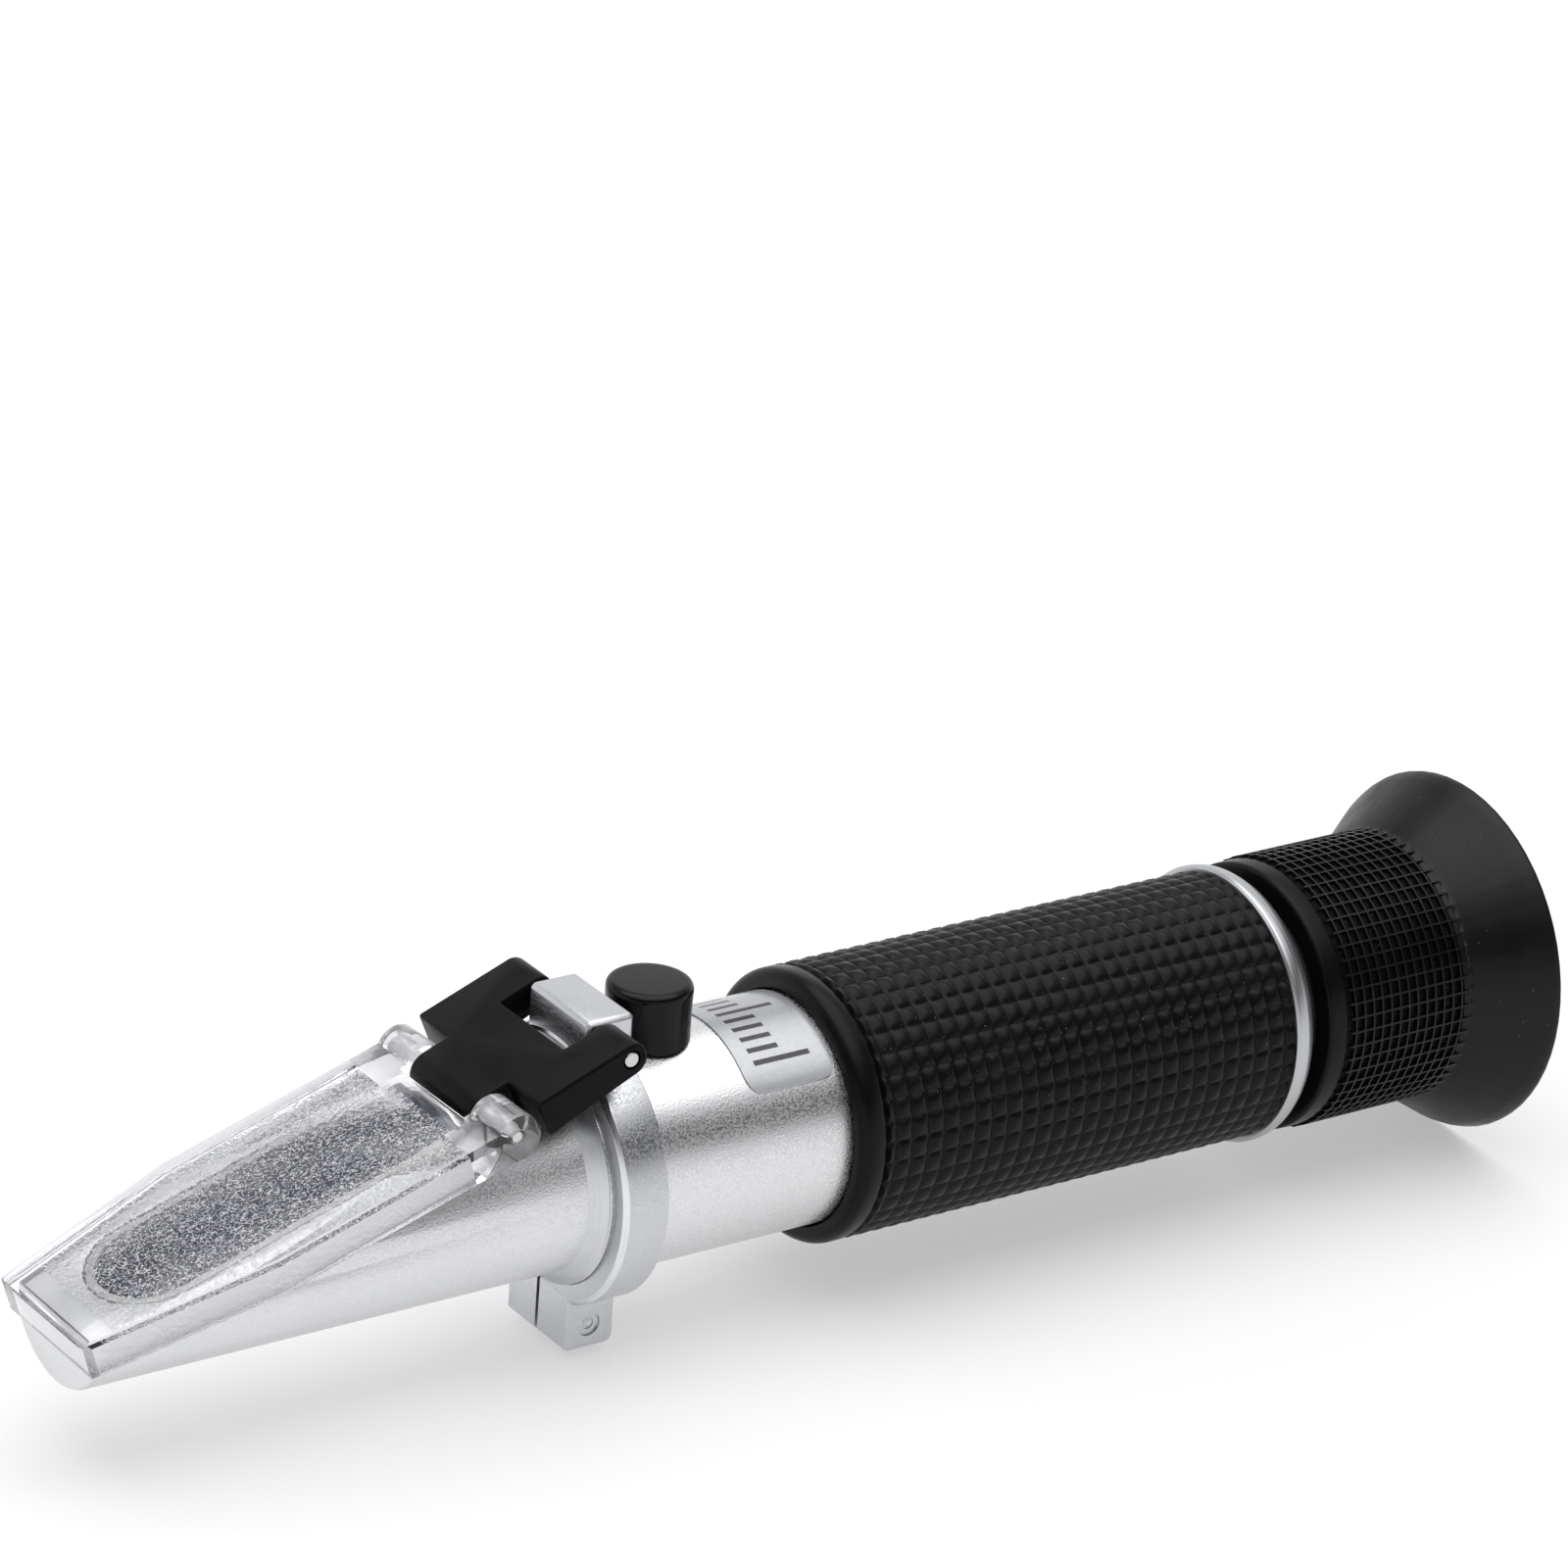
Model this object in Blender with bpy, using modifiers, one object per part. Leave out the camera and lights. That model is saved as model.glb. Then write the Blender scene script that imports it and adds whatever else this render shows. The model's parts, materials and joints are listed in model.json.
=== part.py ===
"""Hand-held brewing refractometer, modelled as its separate pieces.

The optical axis runs along +X, from the sample end (daylight plate and prism) to
the eye end (rubber eyecup). Pieces are placed in the axis frame: x = 0 is the rear
face of the clamp ring and z = 0 is the optical axis. The empty "optical_axis"
carries that frame so that the lowest point is at z = 0 and the object's box is
centred on the world's origin in plan. All lengths are in metres.
"""
import math

import bmesh
import bpy
from mathutils import Matrix, Vector

MM = 0.001
GAP = 0.3 * MM
MERGE = 0.00001
TUBE_STEPS = 48
INNER_STEPS = 28
SMALL_STEPS = 16
OVERCUT = 1.0 * MM

# Whole instrument
RIM_X = 109.2 * MM
RIM_R = 19.4 * MM

# Inclined sample face, hinge pins
FACE_SLOPE = math.radians(18.0)
FRONT_PIN_X, FRONT_PIN_Z = -15.9 * MM, 10.35 * MM
REAR_PIN_X, REAR_PIN_Z = -3.2 * MM, 15.8 * MM
FRONT_PIN_R, FRONT_PIN_HOLE_R = 0.65 * MM, 0.85 * MM
REAR_PIN_R, REAR_PIN_HOLE_R = 0.8 * MM, 1.0 * MM

# Daylight plate, in the face frame: u along the slope, n along its normal, origin on the front pin
PLATE_FRONT_U = -47.2 * MM
PLATE_FLARE_U = -27.0 * MM
PLATE_REAR_U = -2.75 * MM
PLATE_FRONT_HALF = 7.9 * MM
PLATE_HALF = 11.2 * MM
PLATE_TOP_N = 1.47 * MM
PLATE_THICKNESS = 1.3 * MM
SKIRT_DEPTH = 3.76 * MM
SKIRT_WALL = 1.3 * MM
EAR_R = 2.4 * MM
EAR_INNER_Y = 5.9 * MM
EAR_BLOCK_U = -5.2 * MM
PLATE_FRONT_X = (FRONT_PIN_X + PLATE_FRONT_U * math.cos(FACE_SLOPE) - PLATE_TOP_N * math.sin(FACE_SLOPE))

# Hinge block
BLOCK_NOSE_R = 2.2 * MM
BLOCK_TAIL_R = 1.75 * MM
BLOCK_HALF = 11.0 * MM
TONGUE_HALF = 5.55 * MM
BLOCK_SHOULDER = 3.1 * MM
SLOT_HALF = 5.8 * MM
SLOT_LENGTH = 4.2 * MM

# Prism and its housing
HOUSING_FRONT_X = -59.65 * MM
HOUSING_FRONT_R = 8.97 * MM
HOUSING_FRONT_DROP = 1.66 * MM
HOUSING_R = 10.44 * MM
SHOULDER_X = -6.87 * MM
FLANGE_X = -5.4 * MM
SPIGOT_X = 0.5 * MM
SPIGOT_R = 10.4 * MM
HOUSING_BORE_R = 7.0 * MM
FACE_N = -0.13 * MM
PRISM_HALF = 5.5 * MM
PRISM_FRONT_U = -40.4 * MM
PRISM_REAR_X = -19.0 * MM
PRISM_BOTTOM_Z = -4.6 * MM
SEAL_WIDTH = 0.8 * MM
SEAL_DEPTH = 1.2 * MM

# Body tube and clamp
TUBE_R, TUBE_BORE_R = 12.0 * MM, 10.7 * MM
TUBE_FRONT_X, TUBE_REAR_X = -5.1 * MM, 79.6 * MM
RING_R = 14.24 * MM
RING_FRONT_X = -5.05 * MM
LUG_HALF, LUG_TOP_Z = 5.38 * MM, 17.6 * MM
LUG_FRONT_X, LUG_REAR_X = -4.8 * MM, 0.7 * MM
EARS_HALF, EARS_BOTTOM_Z = 5.2 * MM, -18.4 * MM
EARS_FRONT_X, EARS_REAR_X = -5.1 * MM, 0.5 * MM
SLIT = 0.5 * MM
CLAMP_SCREW_X, CLAMP_SCREW_Z, CLAMP_SCREW_R = -2.35 * MM, -15.9 * MM, 1.1 * MM
LABEL_FRONT_X, LABEL_REAR_X = 12.4 * MM, 22.9 * MM
LABEL_HALF_ANGLE = math.radians(50.5)

# Calibration screw under its rubber cap
CAL_X = 5.87 * MM
CAL_CAP_R, CAL_CAP_TOP_Z = 4.42 * MM, 17.9 * MM
CAL_BUSH_R, CAL_SCREW_R = 2.6 * MM, 1.2 * MM

# Objective on its bimetal strip
STRIP_TOP_Z, STRIP_THICKNESS, STRIP_HALF = -7.9 * MM, 0.8 * MM, 2.8 * MM
STRIP_SCREW_XS = (6.0 * MM, 30.0 * MM)

# Rear half
GRIP_FRONT_X, GRIP_REAR_X, GRIP_R = 23.3 * MM, 77.6 * MM, 14.25 * MM
TRIM_FRONT_X, TRIM_REAR_X = 77.9 * MM, 80.26 * MM
MOUNT_NOSE_R, MOUNT_BORE_R, MOUNT_REAR_X = 11.6 * MM, 9.4 * MM, 90.0 * MM
FOCUS_FRONT_X, FOCUS_REAR_X = 82.16 * MM, 94.0 * MM
BARREL_R, BARREL_BORE_R = 9.0 * MM, 8.0 * MM
GUIDE_PIN_X, GUIDE_PIN_R = 86.0 * MM, 0.7 * MM
CUP_FRONT_X = 84.4 * MM

BODY_CENTRE_X = (PLATE_FRONT_X + RIM_X) / 2

for old in list(bpy.data.objects):
    bpy.data.objects.remove(old)

parts = bpy.data.collections.new("refractometer")
helpers = bpy.data.collections.new("cutters")
bpy.context.scene.collection.children.link(parts)
bpy.context.scene.collection.children.link(helpers)


def material(name, colour, roughness, metallic=0.0, alpha=1.0):
    made = bpy.data.materials.new(name)
    made.use_nodes = True
    shader = made.node_tree.nodes["Principled BSDF"]
    shader.inputs["Base Color"].default_value = (*colour, 1.0)
    shader.inputs["Roughness"].default_value = roughness
    shader.inputs["Metallic"].default_value = metallic
    shader.inputs["Alpha"].default_value = alpha
    return made


def black_material(name, roughness):
    return material(name, (0.012, 0.012, 0.014), roughness)


def metal_material(name, roughness=0.35):
    return material(name, (0.72, 0.73, 0.74), roughness, 1.0)


def glass_material(name, colour=(0.85, 0.9, 0.95)):
    return material(name, colour, 0.03, 0.0, 0.35)


def empty(name, x, z, slope=0.0, parent=None):
    made = bpy.data.objects.new(name, None)
    made.location = (x, 0.0, z)
    made.rotation_euler = (0.0, -slope, 0.0)
    made.parent = parent
    parts.objects.link(made)
    return made


optical_axis = empty("optical_axis", -BODY_CENTRE_X, RIM_R)
face_frame = empty("front_pin_axis", FRONT_PIN_X, FRONT_PIN_Z, FACE_SLOPE, optical_axis)
BLOCK_LENGTH = math.hypot(REAR_PIN_X - FRONT_PIN_X, REAR_PIN_Z - FRONT_PIN_Z)
BLOCK_SLOPE = math.atan2(REAR_PIN_Z - FRONT_PIN_Z, REAR_PIN_X - FRONT_PIN_X)
block_frame = empty("rear_pin_axis", REAR_PIN_X, REAR_PIN_Z, BLOCK_SLOPE, optical_axis)


def add_object(name, mesh, finish, parent, location, rotation=(0.0, 0.0, 0.0)):
    """Finish is the piece's material, or None for a helper that only cuts or joins."""
    made = bpy.data.objects.new(name, mesh)
    made.parent = parent
    made.location = location
    made.rotation_euler = rotation
    if finish is None:
        made.hide_render = True
        made.display_type = "WIRE"
        helpers.objects.link(made)
    else:
        mesh.materials.append(finish)
        parts.objects.link(made)
    return made


def from_bmesh(name, bm, finish, parent, location, smooth=False):
    mesh = bpy.data.meshes.new(name)
    bm.to_mesh(mesh)
    bm.free()
    if smooth:
        mesh.shade_smooth()
        mesh.set_sharp_from_angle(angle=math.radians(35))
    return add_object(name, mesh, finish, parent, location)


def box(name, x_span, y_span, z_span, finish=None, parent=optical_axis):
    """A box between the given limits of the parent's frame."""
    spans = (x_span, y_span, z_span)
    size = Vector([high - low for low, high in spans])
    centre = Vector([(high + low) / 2 for low, high in spans])
    bm = bmesh.new()
    bmesh.ops.create_cube(bm, size=1.0, matrix=Matrix.Diagonal((*size, 1.0)))
    return from_bmesh(name, bm, finish, parent, centre)


def rod(name, axis, centre, radius, length, finish=None, parent=optical_axis, steps=SMALL_STEPS):
    """A cylinder along "X", "Y" or "Z" of the parent's frame, about its centre."""
    turn = {"X": Matrix.Rotation(math.pi / 2, 4, "Y"), "Y": Matrix.Rotation(math.pi / 2, 4, "X"),
            "Z": Matrix.Identity(4)}[axis]
    bm = bmesh.new()
    bmesh.ops.create_cone(bm, cap_ends=True, segments=steps, radius1=radius, radius2=radius,
                          depth=length, matrix=turn)
    return from_bmesh(name, bm, finish, parent, centre, smooth=True)


def turned(name, profile, finish=None, steps=INNER_STEPS, location=(0.0, 0.0, 0.0), upright=False):
    """A turned piece from (station, radius) points of a closed outline.

    Stations run along +X, or along +Z where upright. An outline with points on the
    axis is left open there.
    """
    area = sum(a[1] * b[0] - b[1] * a[0] for a, b in zip(profile, profile[1:] + profile[:1]))
    points = profile if area < 0 else profile[::-1]
    on_axis = [index for index, point in enumerate(points) if point[1] == 0.0]
    if on_axis:
        first = next(i for i in on_axis if points[(i + 1) % len(points)][1] > 0.0)
        points = points[first:] + points[:first]
    bm = bmesh.new()
    verts = [bm.verts.new((radius, 0.0, station)) for station, radius in points]
    for a, b in zip(verts, verts[1:]):
        bm.edges.new((a, b))
    if not on_axis:
        bm.edges.new((verts[-1], verts[0]))
    mesh = bpy.data.meshes.new(name)
    bm.to_mesh(mesh)
    bm.free()
    rotation = (0.0, 0.0, 0.0) if upright else (0.0, math.pi / 2, 0.0)
    made = add_object(name, mesh, finish, optical_axis, location, rotation)
    screw = made.modifiers.new("turn", "SCREW")
    screw.axis = "Z"
    screw.steps = steps
    screw.render_steps = steps
    screw.use_merge_vertices = True
    screw.merge_threshold = MERGE
    screw.use_smooth_shade = True
    return made


def ring(name, front, rear, outer, inner, finish=None, steps=INNER_STEPS):
    return turned(name, [(rear, outer), (front, outer), (front, inner), (rear, inner)], finish, steps)


def slab(name, outline, low, high, finish=None, parent=optical_axis, upright=False):
    """A flat outline as a solid: (x, y) points thickened from low to high along z.

    Upright outlines are (x, z) points thickened from low to high along y.
    """
    curve = bpy.data.curves.new(name, "CURVE")
    curve.dimensions = "2D"
    curve.fill_mode = "BOTH"
    curve.extrude = (high - low) / 2
    spline = curve.splines.new("POLY")
    spline.points.add(len(outline) - 1)
    for point, (a, b) in zip(spline.points, outline):
        point.co = (a, b, 0.0, 1.0)
    spline.use_cyclic_u = True
    flat = bpy.data.objects.new(name, curve)
    helpers.objects.link(flat)
    bpy.context.view_layer.update()
    mesh = bpy.data.meshes.new_from_object(flat.evaluated_get(bpy.context.evaluated_depsgraph_get()))
    bpy.data.objects.remove(flat)
    bm = bmesh.new()
    bm.from_mesh(mesh)
    bmesh.ops.remove_doubles(bm, verts=bm.verts, dist=MERGE)
    bmesh.ops.recalc_face_normals(bm, faces=bm.faces)
    bm.to_mesh(mesh)
    bm.free()
    mesh.name = name
    middle = (high + low) / 2
    if upright:
        return add_object(name, mesh, finish, parent, (0.0, middle, 0.0), (math.pi / 2, 0.0, 0.0))
    return add_object(name, mesh, finish, parent, (0.0, 0.0, middle))


def boolean(target, tool, operation="DIFFERENCE"):
    step = target.modifiers.new(tool.name, "BOOLEAN")
    step.operation = operation
    step.solver = "EXACT"
    step.object = tool
    return target


def bevel(target, width, segments=2, angle=40):
    step = target.modifiers.new("rounded edges", "BEVEL")
    step.width = width
    step.segments = segments
    step.limit_method = "ANGLE"
    step.angle_limit = math.radians(angle)
    return target


def arc(centre, radius, start, end, steps):
    """Points along an arc, angles in degrees."""
    return [(centre[0] + radius * math.cos(math.radians(start + (end - start) * i / steps)),
             centre[1] + radius * math.sin(math.radians(start + (end - start) * i / steps)))
            for i in range(steps + 1)]


def oval(margin, rear):
    """Outline of the sample face in (u, y): a round front end and straight sides."""
    radius = PRISM_HALF + margin
    centre = (PRISM_FRONT_U + PRISM_HALF, 0.0)
    return arc(centre, radius, 90, 270, 20) + [(rear, -radius), (rear, radius)]


def flared(front, rear, margin):
    """Plan of the daylight plate in (u, y), its sides moved inwards by margin."""
    half_front, half = PLATE_FRONT_HALF - margin, PLATE_HALF - margin
    near = [(front, -half_front), (PLATE_FLARE_U, -half), (rear, -half)]
    return near + [(u, -y) for u, y in reversed(near)]


def link_outline(margin):
    """Side view of the hinge block, around its two pins; the rear pin is the origin."""
    spread = math.degrees(math.asin((BLOCK_NOSE_R - BLOCK_TAIL_R) / BLOCK_LENGTH))
    tail = arc((0.0, 0.0), BLOCK_TAIL_R + margin, -90 + spread, 90 - spread, 12)
    front = (-BLOCK_LENGTH, 0.0)
    return tail + arc(front, BLOCK_NOSE_R + margin, 90 - spread, 270 + spread, 16)


def wedge_limits(margin):
    """Space of the prism below its sample face, up to its upright rear face."""
    return ((HOUSING_FRONT_X, PRISM_REAR_X + margin), (-HOUSING_R, HOUSING_R),
            (PRISM_BOTTOM_Z - margin, HOUSING_R * 2))


def prism_housing():
    finish = metal_material("housing_aluminium")
    rear_x = FLANGE_X - 0.4 * MM
    length = rear_x - HOUSING_FRONT_X
    bm = bmesh.new()
    bmesh.ops.create_cone(bm, cap_ends=True, segments=TUBE_STEPS, radius1=HOUSING_FRONT_R,
                          radius2=HOUSING_R, depth=length, matrix=Matrix.Rotation(math.pi / 2, 4, "Y"))
    for vert in bm.verts:
        if vert.co.x < 0.0:
            vert.co.z -= HOUSING_FRONT_DROP
    housing = from_bmesh("prism_housing", bm, finish, optical_axis,
                         ((rear_x + HOUSING_FRONT_X) / 2, 0.0, 0.0), smooth=True)
    bevel(housing, 0.5 * MM)
    flange = turned("housing_flange", [(SPIGOT_X, SPIGOT_R), (FLANGE_X, SPIGOT_R), (FLANGE_X, TUBE_R),
                                       (SHOULDER_X, HOUSING_R - 0.02 * MM), (SHOULDER_X, 0.0),
                                       (SPIGOT_X, 0.0)], steps=TUBE_STEPS)
    boolean(housing, flange, "UNION")
    ledge_n = PLATE_TOP_N - SKIRT_DEPTH - GAP
    above = box("above_ledge", (-60 * MM, 0.0), (-15 * MM, 15 * MM), (ledge_n, 30 * MM), parent=face_frame)
    land = slab("sample_land", flared(PLATE_FRONT_U + SKIRT_WALL + GAP, 12 * MM, SKIRT_WALL + GAP),
                -20 * MM, FACE_N, parent=face_frame)
    boolean(above, land)
    boolean(housing, above)
    boolean(housing, slab("hinge_notch", link_outline(0.4 * MM), -12 * MM, 12 * MM,
                          parent=block_frame, upright=True))
    for side in (-1, 1):
        inner, outer = sorted((side * (EAR_INNER_Y - GAP), side * 15 * MM))
        boolean(housing, box(f"ear_clearance_{side}", (EAR_BLOCK_U - GAP, 5 * MM), (inner, outer),
                             (ledge_n, 30 * MM), parent=face_frame))
    pocket = slab("prism_pocket", oval(GAP, 12 * MM), -30 * MM, 5 * MM, parent=face_frame)
    boolean(pocket, box("pocket_limits", *wedge_limits(GAP)), "INTERSECT")
    boolean(housing, pocket)
    boolean(housing, slab("seal_groove", oval(SEAL_WIDTH + 2 * GAP, -5 * MM),
                          FACE_N - SEAL_DEPTH - GAP, 5 * MM, parent=face_frame))
    bore_front = PRISM_REAR_X - OVERCUT
    boolean(housing, rod("light_bore", "X", ((bore_front + 5 * MM) / 2, 0.0, 0.0), HOUSING_BORE_R,
                         5 * MM - bore_front, steps=INNER_STEPS))
    groove = ring("oring_groove", -3.3 * MM, -1.7 * MM, SPIGOT_R + OVERCUT, 9.2 * MM, steps=TUBE_STEPS)
    boolean(housing, groove)


def measuring_prism():
    finish = glass_material("prism_glass", (0.05, 0.07, 0.16))
    prism = slab("measuring_prism", oval(0.0, 12 * MM), -30 * MM, FACE_N, finish, face_frame)
    boolean(prism, box("prism_limits", *wedge_limits(0.0)), "INTERSECT")


def prism_seal():
    """Cement bead between the prism's rim and the housing."""
    finish = material("sealing_cement", (0.6, 0.6, 0.58), 0.7)
    rear_u = EAR_BLOCK_U - 0.5 * MM
    seal = slab("prism_seal", oval(GAP + SEAL_WIDTH, rear_u), FACE_N - SEAL_DEPTH, FACE_N - 0.05 * MM,
                finish, face_frame)
    boolean(seal, slab("seal_opening", oval(GAP, 5 * MM), -5 * MM, 5 * MM, parent=face_frame))


def daylight_plate():
    finish = material("clear_acrylic", (0.93, 0.95, 0.97), 0.05, 0.0, 0.3)
    bottom_n = PLATE_TOP_N - SKIRT_DEPTH
    plate = slab("daylight_plate", flared(PLATE_FRONT_U, 0.0, 0.0), bottom_n, PLATE_TOP_N, finish,
                 face_frame)
    for side in (-1, 1):
        inner, outer = sorted((side * EAR_INNER_Y, side * PLATE_HALF))
        ear = rod(f"ear_{side}", "Y", (0.0, (inner + outer) / 2, 0.0), EAR_R, outer - inner,
                  parent=face_frame, steps=28)
        boolean(plate, ear, "UNION")
    boolean(plate, slab("plate_hollow", flared(PLATE_FRONT_U + SKIRT_WALL, EAR_BLOCK_U, SKIRT_WALL),
                        -10 * MM, PLATE_TOP_N - PLATE_THICKNESS, parent=face_frame))
    boolean(plate, box("tongue_bay", (PLATE_REAR_U, 5 * MM), (-EAR_INNER_Y, EAR_INNER_Y),
                       (-10 * MM, 10 * MM), parent=face_frame))
    boolean(plate, box("under_bay", (EAR_BLOCK_U - OVERCUT, 5 * MM), (-EAR_INNER_Y, EAR_INNER_Y),
                       (-10 * MM, PLATE_TOP_N - PLATE_THICKNESS), parent=face_frame))
    boolean(plate, rod("plate_pin_hole", "Y", (0.0, 0.0, 0.0), FRONT_PIN_HOLE_R, 30 * MM, parent=face_frame))


def hinge_block():
    finish = black_material("block_plastic", 0.4)
    block = slab("hinge_block", link_outline(0.0), -BLOCK_HALF, BLOCK_HALF, finish, block_frame, upright=True)
    for side in (-1, 1):
        inner, outer = sorted((side * TONGUE_HALF, side * 15 * MM))
        boolean(block, box(f"ear_bay_{side}", (-30 * MM, BLOCK_SHOULDER - BLOCK_LENGTH), (inner, outer),
                           (-10 * MM, 10 * MM), parent=block_frame))
    boolean(block, box("lug_slot", (-SLOT_LENGTH, 5 * MM), (-SLOT_HALF, SLOT_HALF), (-10 * MM, 10 * MM),
                       parent=block_frame))
    bevel(block, 0.25 * MM, segments=2, angle=50)
    boolean(block, rod("block_rear_hole", "Y", (0.0, 0.0, 0.0), REAR_PIN_HOLE_R, 30 * MM, parent=block_frame))
    boolean(block, rod("block_front_hole", "Y", (-BLOCK_LENGTH, 0.0, 0.0), FRONT_PIN_HOLE_R, 30 * MM,
                       parent=block_frame))


def hinge_pins():
    steel = material("pin_steel", (0.62, 0.62, 0.6), 0.3, 1.0)
    rod("hinge_pin_front", "Y", (0.0, 0.0, 0.0), FRONT_PIN_R, 2 * PLATE_HALF - 0.6 * MM, steel, face_frame)
    rear = material("rear_pin_steel", (0.62, 0.62, 0.6), 0.3, 1.0)
    rod("hinge_pin_rear", "Y", (0.0, 0.0, 0.0), REAR_PIN_R, 2 * BLOCK_HALF - 0.2 * MM, rear, block_frame)


def main_tube():
    finish = metal_material("tube_aluminium")
    tube = ring("main_tube", TUBE_FRONT_X, TUBE_REAR_X, TUBE_R, TUBE_BORE_R, finish, TUBE_STEPS)
    boolean(tube, rod("bush_hole", "Z", (CAL_X, 0.0, TUBE_R), CAL_BUSH_R + GAP, 8 * MM))


def housing_oring():
    finish = black_material("oring_rubber", 0.6)
    turned("housing_oring", arc((-2.5 * MM, 9.95 * MM), 0.55 * MM, 0, 315, 7), finish)


def clamp_ring():
    finish = metal_material("clamp_aluminium")
    clamp = ring("clamp_ring", RING_FRONT_X, 0.0, RING_R, TUBE_R + GAP, finish, TUBE_STEPS)
    lug = box("lug", (LUG_FRONT_X, LUG_REAR_X), (-LUG_HALF, LUG_HALF), (12 * MM, LUG_TOP_Z))
    ears = box("clamp_ears", (EARS_FRONT_X, EARS_REAR_X), (-EARS_HALF, EARS_HALF),
               (EARS_BOTTOM_Z, -12.5 * MM))
    for shape in (lug, ears):
        bevel(shape, 0.45 * MM)
        boolean(clamp, shape, "UNION")
    boolean(clamp, rod("clamp_bore", "X", (0.0, 0.0, 0.0), TUBE_R + GAP, 40 * MM, steps=TUBE_STEPS))
    boolean(clamp, box("clamp_slit", (-10 * MM, 10 * MM), (-SLIT / 2, SLIT / 2), (-25 * MM, -10 * MM)))
    boolean(clamp, rod("clamp_screw_hole", "Y", (CLAMP_SCREW_X, 0.0, CLAMP_SCREW_Z),
                       CLAMP_SCREW_R + 0.2 * MM, 30 * MM))
    boolean(clamp, rod("lug_pin_hole", "Y", (REAR_PIN_X, 0.0, REAR_PIN_Z), REAR_PIN_HOLE_R, 30 * MM))


def clamp_screw():
    finish = material("screw_steel", (0.6, 0.6, 0.6), 0.35, 1.0)
    screw = rod("clamp_screw", "Y", (CLAMP_SCREW_X, 0.0, CLAMP_SCREW_Z), CLAMP_SCREW_R,
                2 * EARS_HALF - 0.4 * MM, finish)
    slot_y = (EARS_HALF - 0.9 * MM, EARS_HALF + OVERCUT)
    slot_z = (CLAMP_SCREW_Z - 0.2 * MM, CLAMP_SCREW_Z + 0.2 * MM)
    boolean(screw, box("clamp_screw_slot", (-10 * MM, 10 * MM), slot_y, slot_z))


def tube_label():
    finish = material("label_foil", (0.75, 0.77, 0.79), 0.3, 0.6)
    label = ring("tube_label", LABEL_FRONT_X, LABEL_REAR_X, TUBE_R + 0.16 * MM, TUBE_R + 0.06 * MM, finish,
                 2 * TUBE_STEPS)
    half = TUBE_R * math.sin(LABEL_HALF_ANGLE)
    corner = 1.6 * MM
    low, high = LABEL_FRONT_X - 0.05 * MM, LABEL_REAR_X - 0.1 * MM
    outline = []
    for x, y, start in ((high - corner, half - corner, 0), (low + corner, half - corner, 90),
                        (low + corner, corner - half, 180), (high - corner, corner - half, 270)):
        outline += arc((x, y), corner, start, start + 90, 5)
    boolean(label, slab("label_shape", outline, 4 * MM, 20 * MM), "INTERSECT")


def calibration_parts():
    brass = material("bush_brass", (0.72, 0.53, 0.25), 0.35, 1.0)
    bush = [(14.0 * MM, CAL_BUSH_R), (9.8 * MM, CAL_BUSH_R), (9.8 * MM, CAL_SCREW_R + GAP),
            (14.0 * MM, CAL_SCREW_R + GAP)]
    turned("calibration_bush", bush, brass, location=(CAL_X, 0.0, 0.0), upright=True)
    steel = material("calibration_screw_steel", (0.6, 0.6, 0.6), 0.35, 1.0)
    screw = rod("calibration_screw", "Z", (CAL_X, 0.0, 11.7 * MM), CAL_SCREW_R, 7.0 * MM, steel)
    boolean(screw, box("driver_slot", (CAL_X - 3 * MM, CAL_X + 3 * MM), (-0.25 * MM, 0.25 * MM),
                       (14.3 * MM, 16 * MM)))
    rubber = black_material("cap_rubber", 0.35)
    edge = 0.9 * MM
    rounding = arc((CAL_CAP_R - edge, CAL_CAP_TOP_Z - edge), edge, 90, 0, 4)
    profile = [(CAL_CAP_TOP_Z, 0.0)] + [(z, r) for r, z in rounding]
    profile += [(10.6 * MM, CAL_CAP_R), (10.6 * MM, 3.1 * MM), (16.2 * MM, 3.1 * MM), (16.2 * MM, 0.0)]
    cap = turned("calibration_cap", profile, rubber, location=(CAL_X, 0.0, 0.0), upright=True)
    boolean(cap, rod("cap_saddle", "X", (0.0, 0.0, 0.0), TUBE_R + GAP, 40 * MM, steps=TUBE_STEPS))


def lens(name, front, rear, radius, bulge, finish):
    """A biconvex lens; bulge is how far each face stands out at its middle."""
    sphere = (radius ** 2 + bulge ** 2) / (2 * bulge)
    half = math.degrees(math.asin(radius / sphere))
    rear_face = arc((rear + bulge - sphere, 0.0), sphere, 0, half, 3)
    front_face = arc((front - bulge + sphere, 0.0), sphere, 180 - half, 180, 3)
    points = rear_face + front_face
    points[0] = (points[0][0], 0.0)
    points[-1] = (points[-1][0], 0.0)
    turned(name, points, finish)


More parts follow.
